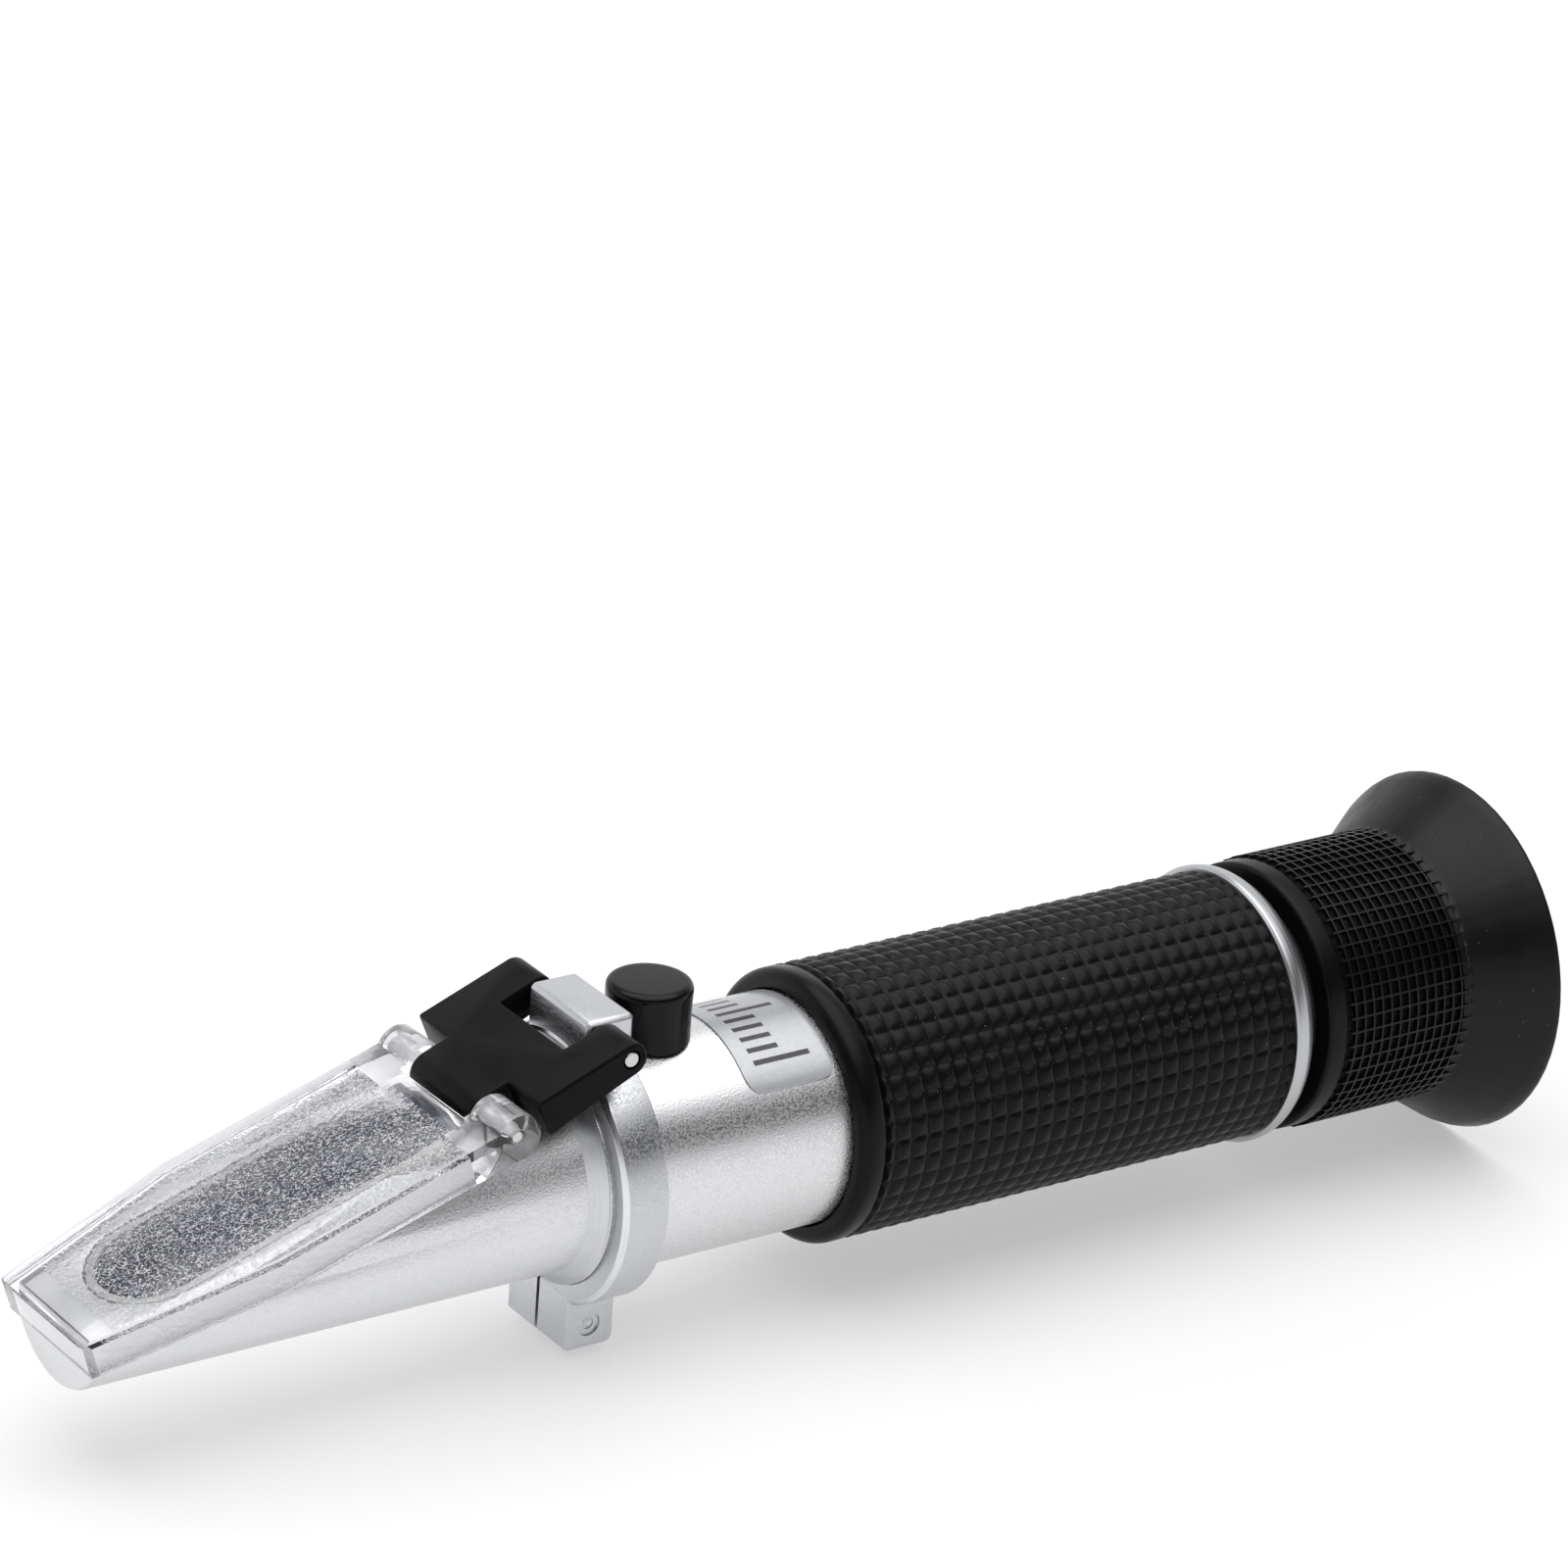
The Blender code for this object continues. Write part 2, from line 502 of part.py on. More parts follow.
def objective_parts():
    black = black_material("carriage_black", 0.5)
    profile = [(9.2 * MM, 7.6 * MM), (2.6 * MM, 7.6 * MM), (2.6 * MM, 5.6 * MM), (3.4 * MM, 5.6 * MM),
               (3.4 * MM, 6.3 * MM), (9.2 * MM, 6.3 * MM)]
    carriage = turned("lens_carriage", profile, black)
    screw_pad = box("screw_pad", (4.2 * MM, 7.4 * MM), (-1.6 * MM, 1.6 * MM), (6.8 * MM, 7.9 * MM))
    strip_pad = box("strip_pad", (2.8 * MM, 9.0 * MM), (-2.6 * MM, 2.6 * MM), (-7.62 * MM, -6.7 * MM))
    for pad in (screw_pad, strip_pad):
        boolean(carriage, pad, "UNION")
    lens("objective_lens", 4.3 * MM, 6.9 * MM, 6.0 * MM, 0.55 * MM, glass_material("objective_glass"))
    ring("lens_lock_ring", 7.9 * MM, 8.9 * MM, 6.0 * MM, 5.2 * MM, black_material("lock_ring_black", 0.5))
    strip_bottom = STRIP_TOP_Z - STRIP_THICKNESS
    strip = box("bimetal_strip", (3.2 * MM, 33.5 * MM), (-STRIP_HALF, STRIP_HALF),
                (strip_bottom, STRIP_TOP_Z), material("bimetal", (0.68, 0.6, 0.48), 0.35, 1.0))
    bracket = ring("compensator_bracket", 26 * MM, 34 * MM, SPIGOT_R, 6.9 * MM,
                   metal_material("bracket_aluminium"))
    seat_y = (-STRIP_HALF - 0.5 * MM, STRIP_HALF + 0.5 * MM)
    boolean(bracket, box("strip_seat", (20 * MM, 40 * MM), seat_y, (-15 * MM, STRIP_TOP_Z + GAP)))
    head_top, head_bottom = strip_bottom - GAP, strip_bottom - 1.2 * MM
    for x, held, end in zip(STRIP_SCREW_XS, (carriage, bracket), ("front", "rear")):
        for piece in (strip, held):
            boolean(piece, rod(f"{piece.name}_{end}_hole", "Z", (x, 0.0, -8.5 * MM), 0.95 * MM, 6 * MM))
        steel = material(f"strip_screw_{end}_steel", (0.6, 0.6, 0.6), 0.35, 1.0)
        profile = [(-7.0 * MM, 0.0), (-7.0 * MM, 0.7 * MM), (head_top, 0.7 * MM), (head_top, 1.4 * MM),
                   (head_bottom, 1.4 * MM), (head_bottom, 0.0)]
        turned(f"strip_screw_{end}", profile, steel, SMALL_STEPS, (x, 0.0, 0.0), upright=True)


def reticle_parts():
    ring("glare_stop", 42 * MM, 44 * MM, SPIGOT_R, 4.8 * MM, black_material("glare_stop_black", 0.7))
    mount = [(64 * MM, SPIGOT_R), (58 * MM, SPIGOT_R), (58 * MM, 7.2 * MM), (59 * MM, 7.2 * MM),
             (59 * MM, 8.0 * MM), (64 * MM, 8.0 * MM)]
    turned("reticle_mount", mount, black_material("reticle_mount_black", 0.5))
    rod("reticle", "X", (60.3 * MM, 0.0, 0.0), 7.7 * MM, 2.0 * MM, glass_material("reticle_glass"),
        steps=INNER_STEPS)
    ring("reticle_retaining_ring", 61.6 * MM, 63.0 * MM, 7.7 * MM, 6.6 * MM,
         black_material("retaining_black", 0.5))


def grip_sleeve():
    bead_r, groove_x = 14.2 * MM, 26.1 * MM
    profile = [(GRIP_REAR_X, GRIP_R), (groove_x + 0.4 * MM, GRIP_R), (groove_x + 0.2 * MM, GRIP_R - 0.4 * MM),
               (groove_x - 0.1 * MM, GRIP_R - 0.4 * MM), (groove_x - 0.3 * MM, bead_r)]
    profile += arc((GRIP_FRONT_X + 1.2 * MM, bead_r - 1.2 * MM), 1.2 * MM, 90, 180, 6)
    profile += [(GRIP_FRONT_X, TUBE_R + GAP), (GRIP_REAR_X, TUBE_R + GAP)]
    turned("grip_sleeve", profile, black_material("grip_rubber", 0.45), TUBE_STEPS)


def trim_ring():
    profile = [(TRIM_REAR_X, 14.0 * MM), (TRIM_REAR_X - 0.4 * MM, 14.5 * MM),
               (TRIM_REAR_X - 1.0 * MM, 14.75 * MM), (TRIM_FRONT_X + 0.3 * MM, 14.8 * MM),
               (TRIM_FRONT_X, 14.5 * MM), (TRIM_FRONT_X, TUBE_R + GAP), (TRIM_REAR_X, TUBE_R + GAP)]
    turned("trim_ring", profile, metal_material("trim_aluminium", 0.25), TUBE_STEPS)


def eyepiece_parts():
    mount = turned("eyepiece_mount", [(MOUNT_REAR_X, MOUNT_NOSE_R), (TUBE_REAR_X + GAP, MOUNT_NOSE_R),
                                      (TUBE_REAR_X + GAP, SPIGOT_R), (66 * MM, SPIGOT_R),
                                      (66 * MM, MOUNT_BORE_R), (MOUNT_REAR_X, MOUNT_BORE_R)],
                   black_material("mount_black", 0.5), TUBE_STEPS)
    boolean(mount, box("guide_slot", (GUIDE_PIN_X - 2.8 * MM, GUIDE_PIN_X + 2.8 * MM), (-1.0 * MM, 1.0 * MM),
                       (8 * MM, 15 * MM)))
    profile = [(99 * MM, BARREL_R), (74 * MM, BARREL_R), (74 * MM, 7.0 * MM), (74.8 * MM, 7.0 * MM),
               (74.8 * MM, BARREL_BORE_R), (99 * MM, BARREL_BORE_R)]
    barrel = turned("eyepiece_barrel", profile, black_material("barrel_black", 0.5))
    boolean(barrel, rod("guide_pin_hole", "Z", (GUIDE_PIN_X, 0.0, 8.5 * MM), GUIDE_PIN_R + 0.2 * MM, 4 * MM))
    rod("guide_pin", "Z", (GUIDE_PIN_X, 0.0, 9.75 * MM), GUIDE_PIN_R, 3.1 * MM,
        material("guide_pin_steel", (0.6, 0.6, 0.6), 0.3, 1.0))
    lens_r = BARREL_BORE_R - GAP
    lens("field_lens", 76.2 * MM, 78.2 * MM, lens_r, 1.0 * MM, glass_material("field_glass"))
    ring("lens_spacer", 79.6 * MM, 90.2 * MM, lens_r, 6.7 * MM, black_material("spacer_black", 0.6))
    lens("eye_lens", 91.8 * MM, 94.0 * MM, lens_r, 1.2 * MM, glass_material("eye_glass"))
    retainer = ring("lens_retaining_ring", 95.6 * MM, 97.4 * MM, lens_r, 6.4 * MM,
                    black_material("retainer_black", 0.5))
    boolean(retainer, box("retainer_slot", (96.6 * MM, 99 * MM), (-0.5 * MM, 0.5 * MM), (-9 * MM, 9 * MM)))


def focus_ring():
    sleeve_r, collar_r, bore_r = 12.9 * MM, 14.35 * MM, MOUNT_NOSE_R + GAP
    collar_rear = CUP_FRONT_X - GAP
    profile = [(FOCUS_REAR_X, sleeve_r), (collar_rear, sleeve_r), (collar_rear, collar_r)]
    profile += arc((FOCUS_FRONT_X + 0.6 * MM, collar_r - 0.6 * MM), 0.6 * MM, 90, 180, 4)
    profile += [(FOCUS_FRONT_X, bore_r), (FOCUS_REAR_X - 2 * MM, bore_r),
                (FOCUS_REAR_X - 2 * MM, BARREL_R + GAP), (FOCUS_REAR_X, BARREL_R + GAP)]
    turned("focus_ring", profile, black_material("focus_ring_black", 0.4), TUBE_STEPS)


def eyecup():
    """Soft cup: a band over the focus ring, a flare to a thin rim and the bowl for the eye."""
    band_r = 14.6 * MM
    outer = [(RIM_X, RIM_R - 0.25 * MM), (RIM_X - 0.3 * MM, RIM_R), (107.6 * MM, 18.9 * MM),
             (105.6 * MM, 17.6 * MM), (103.6 * MM, 16.3 * MM), (102 * MM, 15.4 * MM), (100.4 * MM, 14.8 * MM),
             (98.8 * MM, band_r), (CUP_FRONT_X + 0.3 * MM, band_r), (CUP_FRONT_X, band_r - 0.3 * MM)]
    inner = [(CUP_FRONT_X, 13.2 * MM), (FOCUS_REAR_X + GAP, 13.2 * MM), (FOCUS_REAR_X + GAP, BARREL_R + GAP),
             (98.8 * MM, BARREL_R + GAP), (99.4 * MM, 9.8 * MM), (101.0 * MM, 12.4 * MM),
             (103.6 * MM, 14.9 * MM), (106.4 * MM, 17.2 * MM), (RIM_X, 18.9 * MM)]
    turned("eyecup", outer + inner, black_material("eyecup_rubber", 0.4), TUBE_STEPS)


prism_housing()
measuring_prism()
prism_seal()
housing_oring()
daylight_plate()
hinge_block()
hinge_pins()
main_tube()
clamp_ring()
clamp_screw()
tube_label()
calibration_parts()
objective_parts()
reticle_parts()
grip_sleeve()
trim_ring()
eyepiece_parts()
focus_ring()
eyecup()
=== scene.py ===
import functools
import json
import math

import bmesh
import bpy
from mathutils import Matrix, Vector


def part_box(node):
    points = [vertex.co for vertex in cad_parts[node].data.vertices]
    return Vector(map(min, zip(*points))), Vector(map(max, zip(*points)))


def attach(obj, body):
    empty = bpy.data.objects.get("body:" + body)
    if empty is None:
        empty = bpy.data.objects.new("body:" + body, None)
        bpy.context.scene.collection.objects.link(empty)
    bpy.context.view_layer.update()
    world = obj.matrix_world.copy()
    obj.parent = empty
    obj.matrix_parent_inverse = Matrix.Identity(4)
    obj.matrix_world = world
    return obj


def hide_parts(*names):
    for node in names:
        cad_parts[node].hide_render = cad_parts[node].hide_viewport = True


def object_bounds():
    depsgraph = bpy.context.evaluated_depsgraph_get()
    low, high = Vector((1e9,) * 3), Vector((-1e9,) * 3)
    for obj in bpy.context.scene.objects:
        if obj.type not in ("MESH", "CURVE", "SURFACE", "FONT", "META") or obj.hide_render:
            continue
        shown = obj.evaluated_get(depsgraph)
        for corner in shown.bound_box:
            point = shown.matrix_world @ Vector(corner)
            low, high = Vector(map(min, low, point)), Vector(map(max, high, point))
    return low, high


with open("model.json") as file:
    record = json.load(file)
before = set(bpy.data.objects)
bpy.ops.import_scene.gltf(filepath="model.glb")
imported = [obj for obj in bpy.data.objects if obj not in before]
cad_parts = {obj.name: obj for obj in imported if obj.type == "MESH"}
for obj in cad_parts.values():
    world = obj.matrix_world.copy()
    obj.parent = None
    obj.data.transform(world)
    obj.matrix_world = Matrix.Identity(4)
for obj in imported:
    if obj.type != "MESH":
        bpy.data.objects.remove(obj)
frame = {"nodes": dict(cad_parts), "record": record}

cad_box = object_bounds()
nodes = frame["nodes"]
joints = {joint["name"]: joint for joint in frame["record"]["behaviour"]["joints"]}

# Lengths below are millimetres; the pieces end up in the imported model's metres.
MM = 0.001

# The axis frame: x = 0 is the clamp ring's rear face and z = 0 the optical axis.
TUBE_FRONT = -5.1
ORIGIN = Vector((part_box("main_tube")[0].x - TUBE_FRONT * MM, 0.0,
                 (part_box("eyecup")[0].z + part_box("eyecup")[1].z) / 2))
AXIS = Matrix.Translation(ORIGIN) @ Matrix.Scale(MM, 4)

# The face frame lies along the inclined sample face, with its origin on the front hinge pin,
# and the block frame runs through both hinge pins, with its origin on the rear one.
FACE_SLOPE = math.radians(18.0)
FRONT_PIN = Vector(joints["daylight_plate_pivot"]["pos_m"])
REAR_PIN = Vector(joints["hinge_block_pivot"]["pos_m"])
PIN_PITCH = (REAR_PIN - FRONT_PIN).length / MM
BLOCK_SLOPE = math.atan2(REAR_PIN.z - FRONT_PIN.z, REAR_PIN.x - FRONT_PIN.x)
FACE = Matrix.Translation(FRONT_PIN) @ Matrix.Rotation(-FACE_SLOPE, 4, "Y") @ Matrix.Scale(MM, 4)
BLOCK = Matrix.Translation(REAR_PIN) @ Matrix.Rotation(-BLOCK_SLOPE, 4, "Y") @ Matrix.Scale(MM, 4)
FACE_IN_AXIS = AXIS.inverted() @ FACE

# Camera: beside the sample end and slightly above, looking along the instrument.
VIEW_AZIMUTH = math.radians(-36.13)
VIEW_ELEVATION = math.radians(23.50)
VIEW_ROLL = math.radians(4.36)
LENS = 158.03
CAMERA_PLACE = Vector((-344.98, -500.34, 305.45))


def span(node):
    """A turned node's front and rear stations and its outer radius, in the axis frame."""
    low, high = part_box(node)
    return (low.x - ORIGIN.x) / MM, (high.x - ORIGIN.x) / MM, (high.y - low.y) / 2 / MM


# ---------------------------------------------------------------- camera, lights and floor

def add_camera():
    back = Vector((math.sin(VIEW_AZIMUTH) * math.cos(VIEW_ELEVATION),
                   -math.cos(VIEW_AZIMUTH) * math.cos(VIEW_ELEVATION), math.sin(VIEW_ELEVATION)))
    level = Vector((0, 0, 1)).cross(back).normalized()
    rise = back.cross(level)
    right = level * math.cos(VIEW_ROLL) + rise * math.sin(VIEW_ROLL)
    up = rise * math.cos(VIEW_ROLL) - level * math.sin(VIEW_ROLL)
    data = bpy.data.cameras.new("camera")
    data.lens = LENS
    data.sensor_width = 36.0
    data.clip_start = 0.01
    data.clip_end = 50.0
    camera = bpy.data.objects.new("camera", data)
    turn = Matrix((right, up, back)).transposed().to_4x4()
    camera.matrix_world = Matrix.Translation(AXIS @ CAMERA_PLACE) @ turn
    bpy.context.scene.collection.objects.link(camera)
    bpy.context.scene.camera = camera


def add_area_light(name, place, target, size, watts):
    data = bpy.data.lights.new(name, "AREA")
    data.shape = "RECTANGLE"
    data.size, data.size_y = size
    data.energy = watts
    light = bpy.data.objects.new(name, data)
    light.location = place
    light.rotation_euler = (Vector(place) - Vector(target)).to_track_quat("Z", "Y").to_euler()
    bpy.context.scene.collection.objects.link(light)


def add_stage():
    bm = bmesh.new()
    bmesh.ops.create_grid(bm, x_segments=8, y_segments=8, size=3.0)
    mesh = bpy.data.meshes.new("floor")
    bm.to_mesh(mesh)
    bm.free()
    floor = bpy.data.objects.new("floor", mesh)
    floor.location.z = cad_box[0][2] - 0.0001
    bpy.context.scene.collection.objects.link(floor)
    paper, _, shader = plain_material("floor_paper", (0.50, 0.50, 0.505), 0.8)
    shader.inputs["Emission Color"].default_value = (1.0, 1.0, 1.0, 1.0)
    shader.inputs["Emission Strength"].default_value = 0.42
    mesh.materials.append(paper)


def add_world():
    """A soft studio: bright overhead, behind and along the floor, dim at the viewer's eye level."""
    world = bpy.data.worlds.new("studio")
    bpy.context.scene.world = world
    world.use_nodes = True
    tree = world.node_tree
    coordinates = tree.nodes.new("ShaderNodeTexCoord")
    split = tree.nodes.new("ShaderNodeSeparateXYZ")
    tree.links.new(coordinates.outputs["Generated"], split.inputs[0])

    def by_height(*levels):
        ramp = tree.nodes.new("ShaderNodeValToRGB")
        stops = ramp.color_ramp.elements
        for position, grey in levels:
            stop = stops.new(position)
            stop.color = (grey, grey, grey * 1.02, 1.0)
        stops.remove(stops[0])
        stops.remove(stops[-1])
        tree.links.new(split.outputs["Z"], ramp.inputs[0])
        return ramp.outputs[0]

    near = by_height((0.12, 0.92), (0.24, 0.04), (0.55, 0.04), (0.80, 1.1))
    far = by_height((0.02, 0.94), (0.46, 1.0), (0.60, 0.42), (0.74, 0.42), (0.86, 1.1))
    behind = spread(tree, split.outputs["Y"], 0.0, 1.0, -0.1, 0.35)
    tree.links.new(mix_colours(tree, behind, near, far), tree.nodes["Background"].inputs["Color"])


# ---------------------------------------------------------------- materials

def plain_material(name, colour, roughness, metallic=0.0):
    made = bpy.data.materials.new(name)
    made.use_nodes = True
    shader = made.node_tree.nodes["Principled BSDF"]
    shader.inputs["Base Color"].default_value = (*colour, 1.0)
    shader.inputs["Roughness"].default_value = roughness
    shader.inputs["Metallic"].default_value = metallic
    return made, made.node_tree, shader


def noise(tree, scale, detail=2.0, stretch=(1.0, 1.0, 1.0)):
    """Noise in object space; scale is in features per metre, stretch multiplies it along each axis."""
    coordinates = tree.nodes.new("ShaderNodeTexCoord")
    mapping = tree.nodes.new("ShaderNodeMapping")
    mapping.inputs["Scale"].default_value = stretch
    texture = tree.nodes.new("ShaderNodeTexNoise")
    texture.inputs["Scale"].default_value = scale
    texture.inputs["Detail"].default_value = detail
    tree.links.new(coordinates.outputs["Object"], mapping.inputs["Vector"])
    tree.links.new(mapping.outputs["Vector"], texture.inputs["Vector"])
    return texture.outputs["Fac"]


def spread(tree, source, low, high, start=0.3, end=0.7):
    """Maps the source's start..end to low..high."""
    ranged = tree.nodes.new("ShaderNodeMapRange")
    ranged.inputs["From Min"].default_value = start
    ranged.inputs["From Max"].default_value = end
    ranged.inputs["To Min"].default_value = low
    ranged.inputs["To Max"].default_value = high
    tree.links.new(source, ranged.inputs["Value"])
    return ranged.outputs[0]


def mix_colours(tree, factor, first, second):
    mixed = tree.nodes.new("ShaderNodeMix")
    mixed.data_type = "RGBA"
    for socket, colour in ((mixed.inputs[6], first), (mixed.inputs[7], second)):
        if isinstance(colour, tuple):
            socket.default_value = (*colour, 1.0)
        else:
            tree.links.new(colour, socket)
    tree.links.new(factor, mixed.inputs[0])
    return mixed.outputs[2]


def math_node(tree, operation, first, second=0.0):
    """A Math node whose two inputs are numbers or sockets."""
    made = tree.nodes.new("ShaderNodeMath")
    made.operation = operation
    for socket, value in zip(made.inputs, (first, second)):
        if isinstance(value, float):
            socket.default_value = value
        else:
            tree.links.new(value, socket)
    return made.outputs[0]


def add_bump(tree, shader, height, depth):
    """Bump of the given depth in metres."""
    bump = tree.nodes.new("ShaderNodeBump")
    bump.inputs["Distance"].default_value = depth
    bump.inputs["Strength"].default_value = 1.0
    tree.links.new(height, bump.inputs["Height"])
    tree.links.new(bump.outputs[0], shader.inputs["Normal"])


BLAST_GRAIN = 4700.0        # dimples per metre
DULL_SHARE = 0.97           # of the colour, left in the duller dimples


def blasted_metal(name, colour, roughness, depth):
    """Bead-blasted aluminium: a satin skin of tiny dimples, some of them duller than others."""
    made, tree, shader = plain_material(name, colour, roughness, 1.0)
    dimples = noise(tree, BLAST_GRAIN, 1.0)
    dull = tuple(DULL_SHARE * part for part in colour)
    tree.links.new(mix_colours(tree, spread(tree, dimples, 0.0, 1.0, 0.40, 0.60), dull, colour),
                   shader.inputs["Base Color"])
    tree.links.new(spread(tree, dimples, roughness + 0.10, roughness - 0.08, 0.40, 0.60),
                   shader.inputs["Roughness"])
    add_bump(tree, shader, dimples, depth)
    return made


def turned_metal(name, colour, roughness, stretch=(9000.0, 250.0, 250.0)):
    """Turned metal: fine lines left by the tool round the X axis."""
    made, tree, shader = plain_material(name, colour, roughness, 1.0)
    lines = noise(tree, 1.0, 3.0, stretch)
    tree.links.new(spread(tree, lines, roughness - 0.06, roughness + 0.08), shader.inputs["Roughness"])
    darker = tuple(0.86 * part for part in colour)
    tree.links.new(mix_colours(tree, spread(tree, lines, 0.0, 1.0), darker, colour),
                   shader.inputs["Base Color"])
    add_bump(tree, shader, lines, 0.000006)
    return made


def rubber(name, colour, roughness, grain=2500.0, depth=0.00002, dust=0.0, gloss=0.25):
    """Black rubber or plastic: fine moulded grain, uneven gloss and a few dust specks."""
    made, tree, shader = plain_material(name, colour, roughness)
    grains = noise(tree, grain, 3.0)
    uneven = noise(tree, 220.0, 3.0)
    worn = tuple(part * 1.5 for part in colour)
    base = mix_colours(tree, spread(tree, uneven, 0.0, 1.0), colour, worn)
    if dust:
        specks = spread(tree, noise(tree, 3600.0, 1.0), 0.0, 1.0, 0.80 - dust, 0.84 - dust)
        base = mix_colours(tree, specks, base, (0.12, 0.12, 0.115))
    tree.links.new(base, shader.inputs["Base Color"])
    tree.links.new(spread(tree, uneven, roughness - 0.05, roughness + 0.07), shader.inputs["Roughness"])
    shader.inputs["Specular IOR Level"].default_value = gloss
    add_bump(tree, shader, grains, depth)
    return made


def clear_plastic():
    """Moulded acrylic, polished, with the faint waviness of a moulding."""
    made, tree, shader = plain_material("clear_acrylic", (0.985, 0.99, 1.0), 0.015)
    shader.inputs["Transmission Weight"].default_value = 1.0
    shader.inputs["IOR"].default_value = 1.49
    add_bump(tree, shader, noise(tree, 260.0, 1.0), 0.000012)
    return made


def frosted_plastic():
    """The textured underside of the daylight plate: clear between small whitish wrinkles."""
    made, tree, shader = plain_material("frosted_acrylic", (0.97, 0.975, 1.0), 0.06)
    shader.inputs["IOR"].default_value = 1.49
    height = noise(tree, 2050.0, 1.5)
    off_crest = math_node(tree, "ABSOLUTE", math_node(tree, "SUBTRACT", height, 0.5))
    tree.links.new(spread(tree, off_crest, 0.0, 1.0, 0.014, 0.046), shader.inputs["Transmission Weight"])
    add_bump(tree, shader, height, 0.00008)
    return made


def hazed_plastic(name, silvering, clearest, roughness):
    """Acrylic with a whitish moulding haze, silvered where it throws back the light inside it."""
    made, tree, shader = plain_material(name, (0.985, 0.985, 1.0), roughness)
    shader.inputs["IOR"].default_value = 1.49
    shader.inputs["Metallic"].default_value = silvering
    haze = noise(tree, 2400.0, 2.0)
    tree.links.new(spread(tree, haze, clearest - 0.2, clearest), shader.inputs["Transmission Weight"])
    add_bump(tree, shader, haze, 0.00003)
    return made


def lens_glass():
    made, tree, shader = plain_material("lens_glass", (0.93, 0.97, 0.96), 0.01)
    shader.inputs["Transmission Weight"].default_value = 1.0
    shader.inputs["IOR"].default_value = 1.52
    tree.links.new(spread(tree, noise(tree, 90.0), 0.005, 0.02), shader.inputs["Roughness"])
    return made


def prism_glass():
    """Polished glass above a blackened light path: it looks deep slate blue."""
    made, tree, shader = plain_material("prism_glass", (0.03, 0.035, 0.06), 0.04)
    depth = noise(tree, 130.0, 2.0)
    slate = mix_colours(tree, spread(tree, depth, 0.0, 1.0), (0.008, 0.012, 0.032), (0.012, 0.020, 0.062))
    tree.links.new(slate, shader.inputs["Base Color"])
    tree.links.new(spread(tree, noise(tree, 800.0), 0.03, 0.07), shader.inputs["Roughness"])
    shader.inputs["IOR"].default_value = 1.5
    return made


# The label's printed scale: plain ticks round the tube, every fifth one long. Sizes are in millimetres.
TICK_PITCH = math.radians(7.0)
TICK_COUNT_OFFSET = 100.5   # puts a long tick on the top line, and is large enough to count upwards from
TICK_HALF_WIDTH = 0.2       # in pitches
SCALE_REACH = math.radians(39.0)
SCALE_MARGIN, SHORT_TICK, LONG_TICK_EXTRA = 1.7, 3.6, 3.0
FOIL_METALLIC = 0.55


def label_film():
    """Silvery film with the printed scale."""
    made, tree, shader = plain_material("label_foil", (0.43, 0.445, 0.46), 0.26)
    coordinates = tree.nodes.new("ShaderNodeTexCoord")
    split = tree.nodes.new("ShaderNodeSeparateXYZ")
    tree.links.new(coordinates.outputs["Object"], split.inputs[0])
    calc = functools.partial(math_node, tree)

    turn = calc("ARCTAN2", split.outputs["Y"], calc("SUBTRACT", split.outputs["Z"], ORIGIN.z))
    step = calc("ADD", calc("DIVIDE", turn, TICK_PITCH), TICK_COUNT_OFFSET)
    off_tick = calc("ABSOLUTE", calc("SUBTRACT", calc("FRACT", step), 0.5))
    in_tick = calc("LESS_THAN", off_tick, TICK_HALF_WIDTH)
    long_tick = calc("LESS_THAN", calc("MODULO", calc("FLOOR", step), 5.0), 0.5)
    start = ORIGIN.x + (span("tube_label")[0] + SCALE_MARGIN) * MM
    along = calc("SUBTRACT", split.outputs["X"], start)
    length = calc("ADD", calc("MULTIPLY", long_tick, LONG_TICK_EXTRA * MM), SHORT_TICK * MM)
    inside = calc("MULTIPLY", calc("GREATER_THAN", along, 0.0), calc("LESS_THAN", along, length))
    within_reach = calc("LESS_THAN", calc("ABSOLUTE", turn), SCALE_REACH)
    ink = calc("MULTIPLY", calc("MULTIPLY", in_tick, inside), within_reach)

    grain = spread(tree, noise(tree, 1800.0), 0.0, 1.0)
    foil = mix_colours(tree, grain, (0.405, 0.415, 0.425), (0.445, 0.455, 0.465))
    tree.links.new(mix_colours(tree, ink, foil, (0.02, 0.02, 0.022)), shader.inputs["Base Color"])
    tree.links.new(calc("SUBTRACT", FOIL_METALLIC, calc("MULTIPLY", ink, FOIL_METALLIC)),
                   shader.inputs["Metallic"])
    add_bump(tree, shader, noise(tree, 500.0), 0.00001)
    return made


# ---------------------------------------------------------------- mesh tools, in millimetres

def revolve(sections):
    """Closed surface through outlines at rising angles round the axis.

    sections holds (angle, outline); an outline is a closed loop of (x, radius), and a
    point of radius 0 is shared by every section. Angle 0 is the -Y side, a quarter turn the top.
    """
    bm = bmesh.new()
    shared = {}
    rows = []
    for angle, outline in sections:
        row = []
        for index, (x, radius) in enumerate(outline):
            if radius == 0.0:
                if index not in shared:
                    shared[index] = bm.verts.new((x, 0.0, 0.0))
                row.append(shared[index])
            else:
                row.append(bm.verts.new((x, -radius * math.cos(angle), radius * math.sin(angle))))
        rows.append(row)
    for row, following in zip(rows, rows[1:] + rows[:1]):
        for index in range(len(row)):
            after = (index + 1) % len(row)
            corners = dict.fromkeys((row[index], row[after], following[after], following[index]))
            if len(corners) > 2:
                bm.faces.new(corners)
    bmesh.ops.recalc_face_normals(bm, faces=bm.faces)
    return bm


def turned(outline, steps=144):
    return revolve([(2 * math.pi * step / steps, outline) for step in range(steps)])


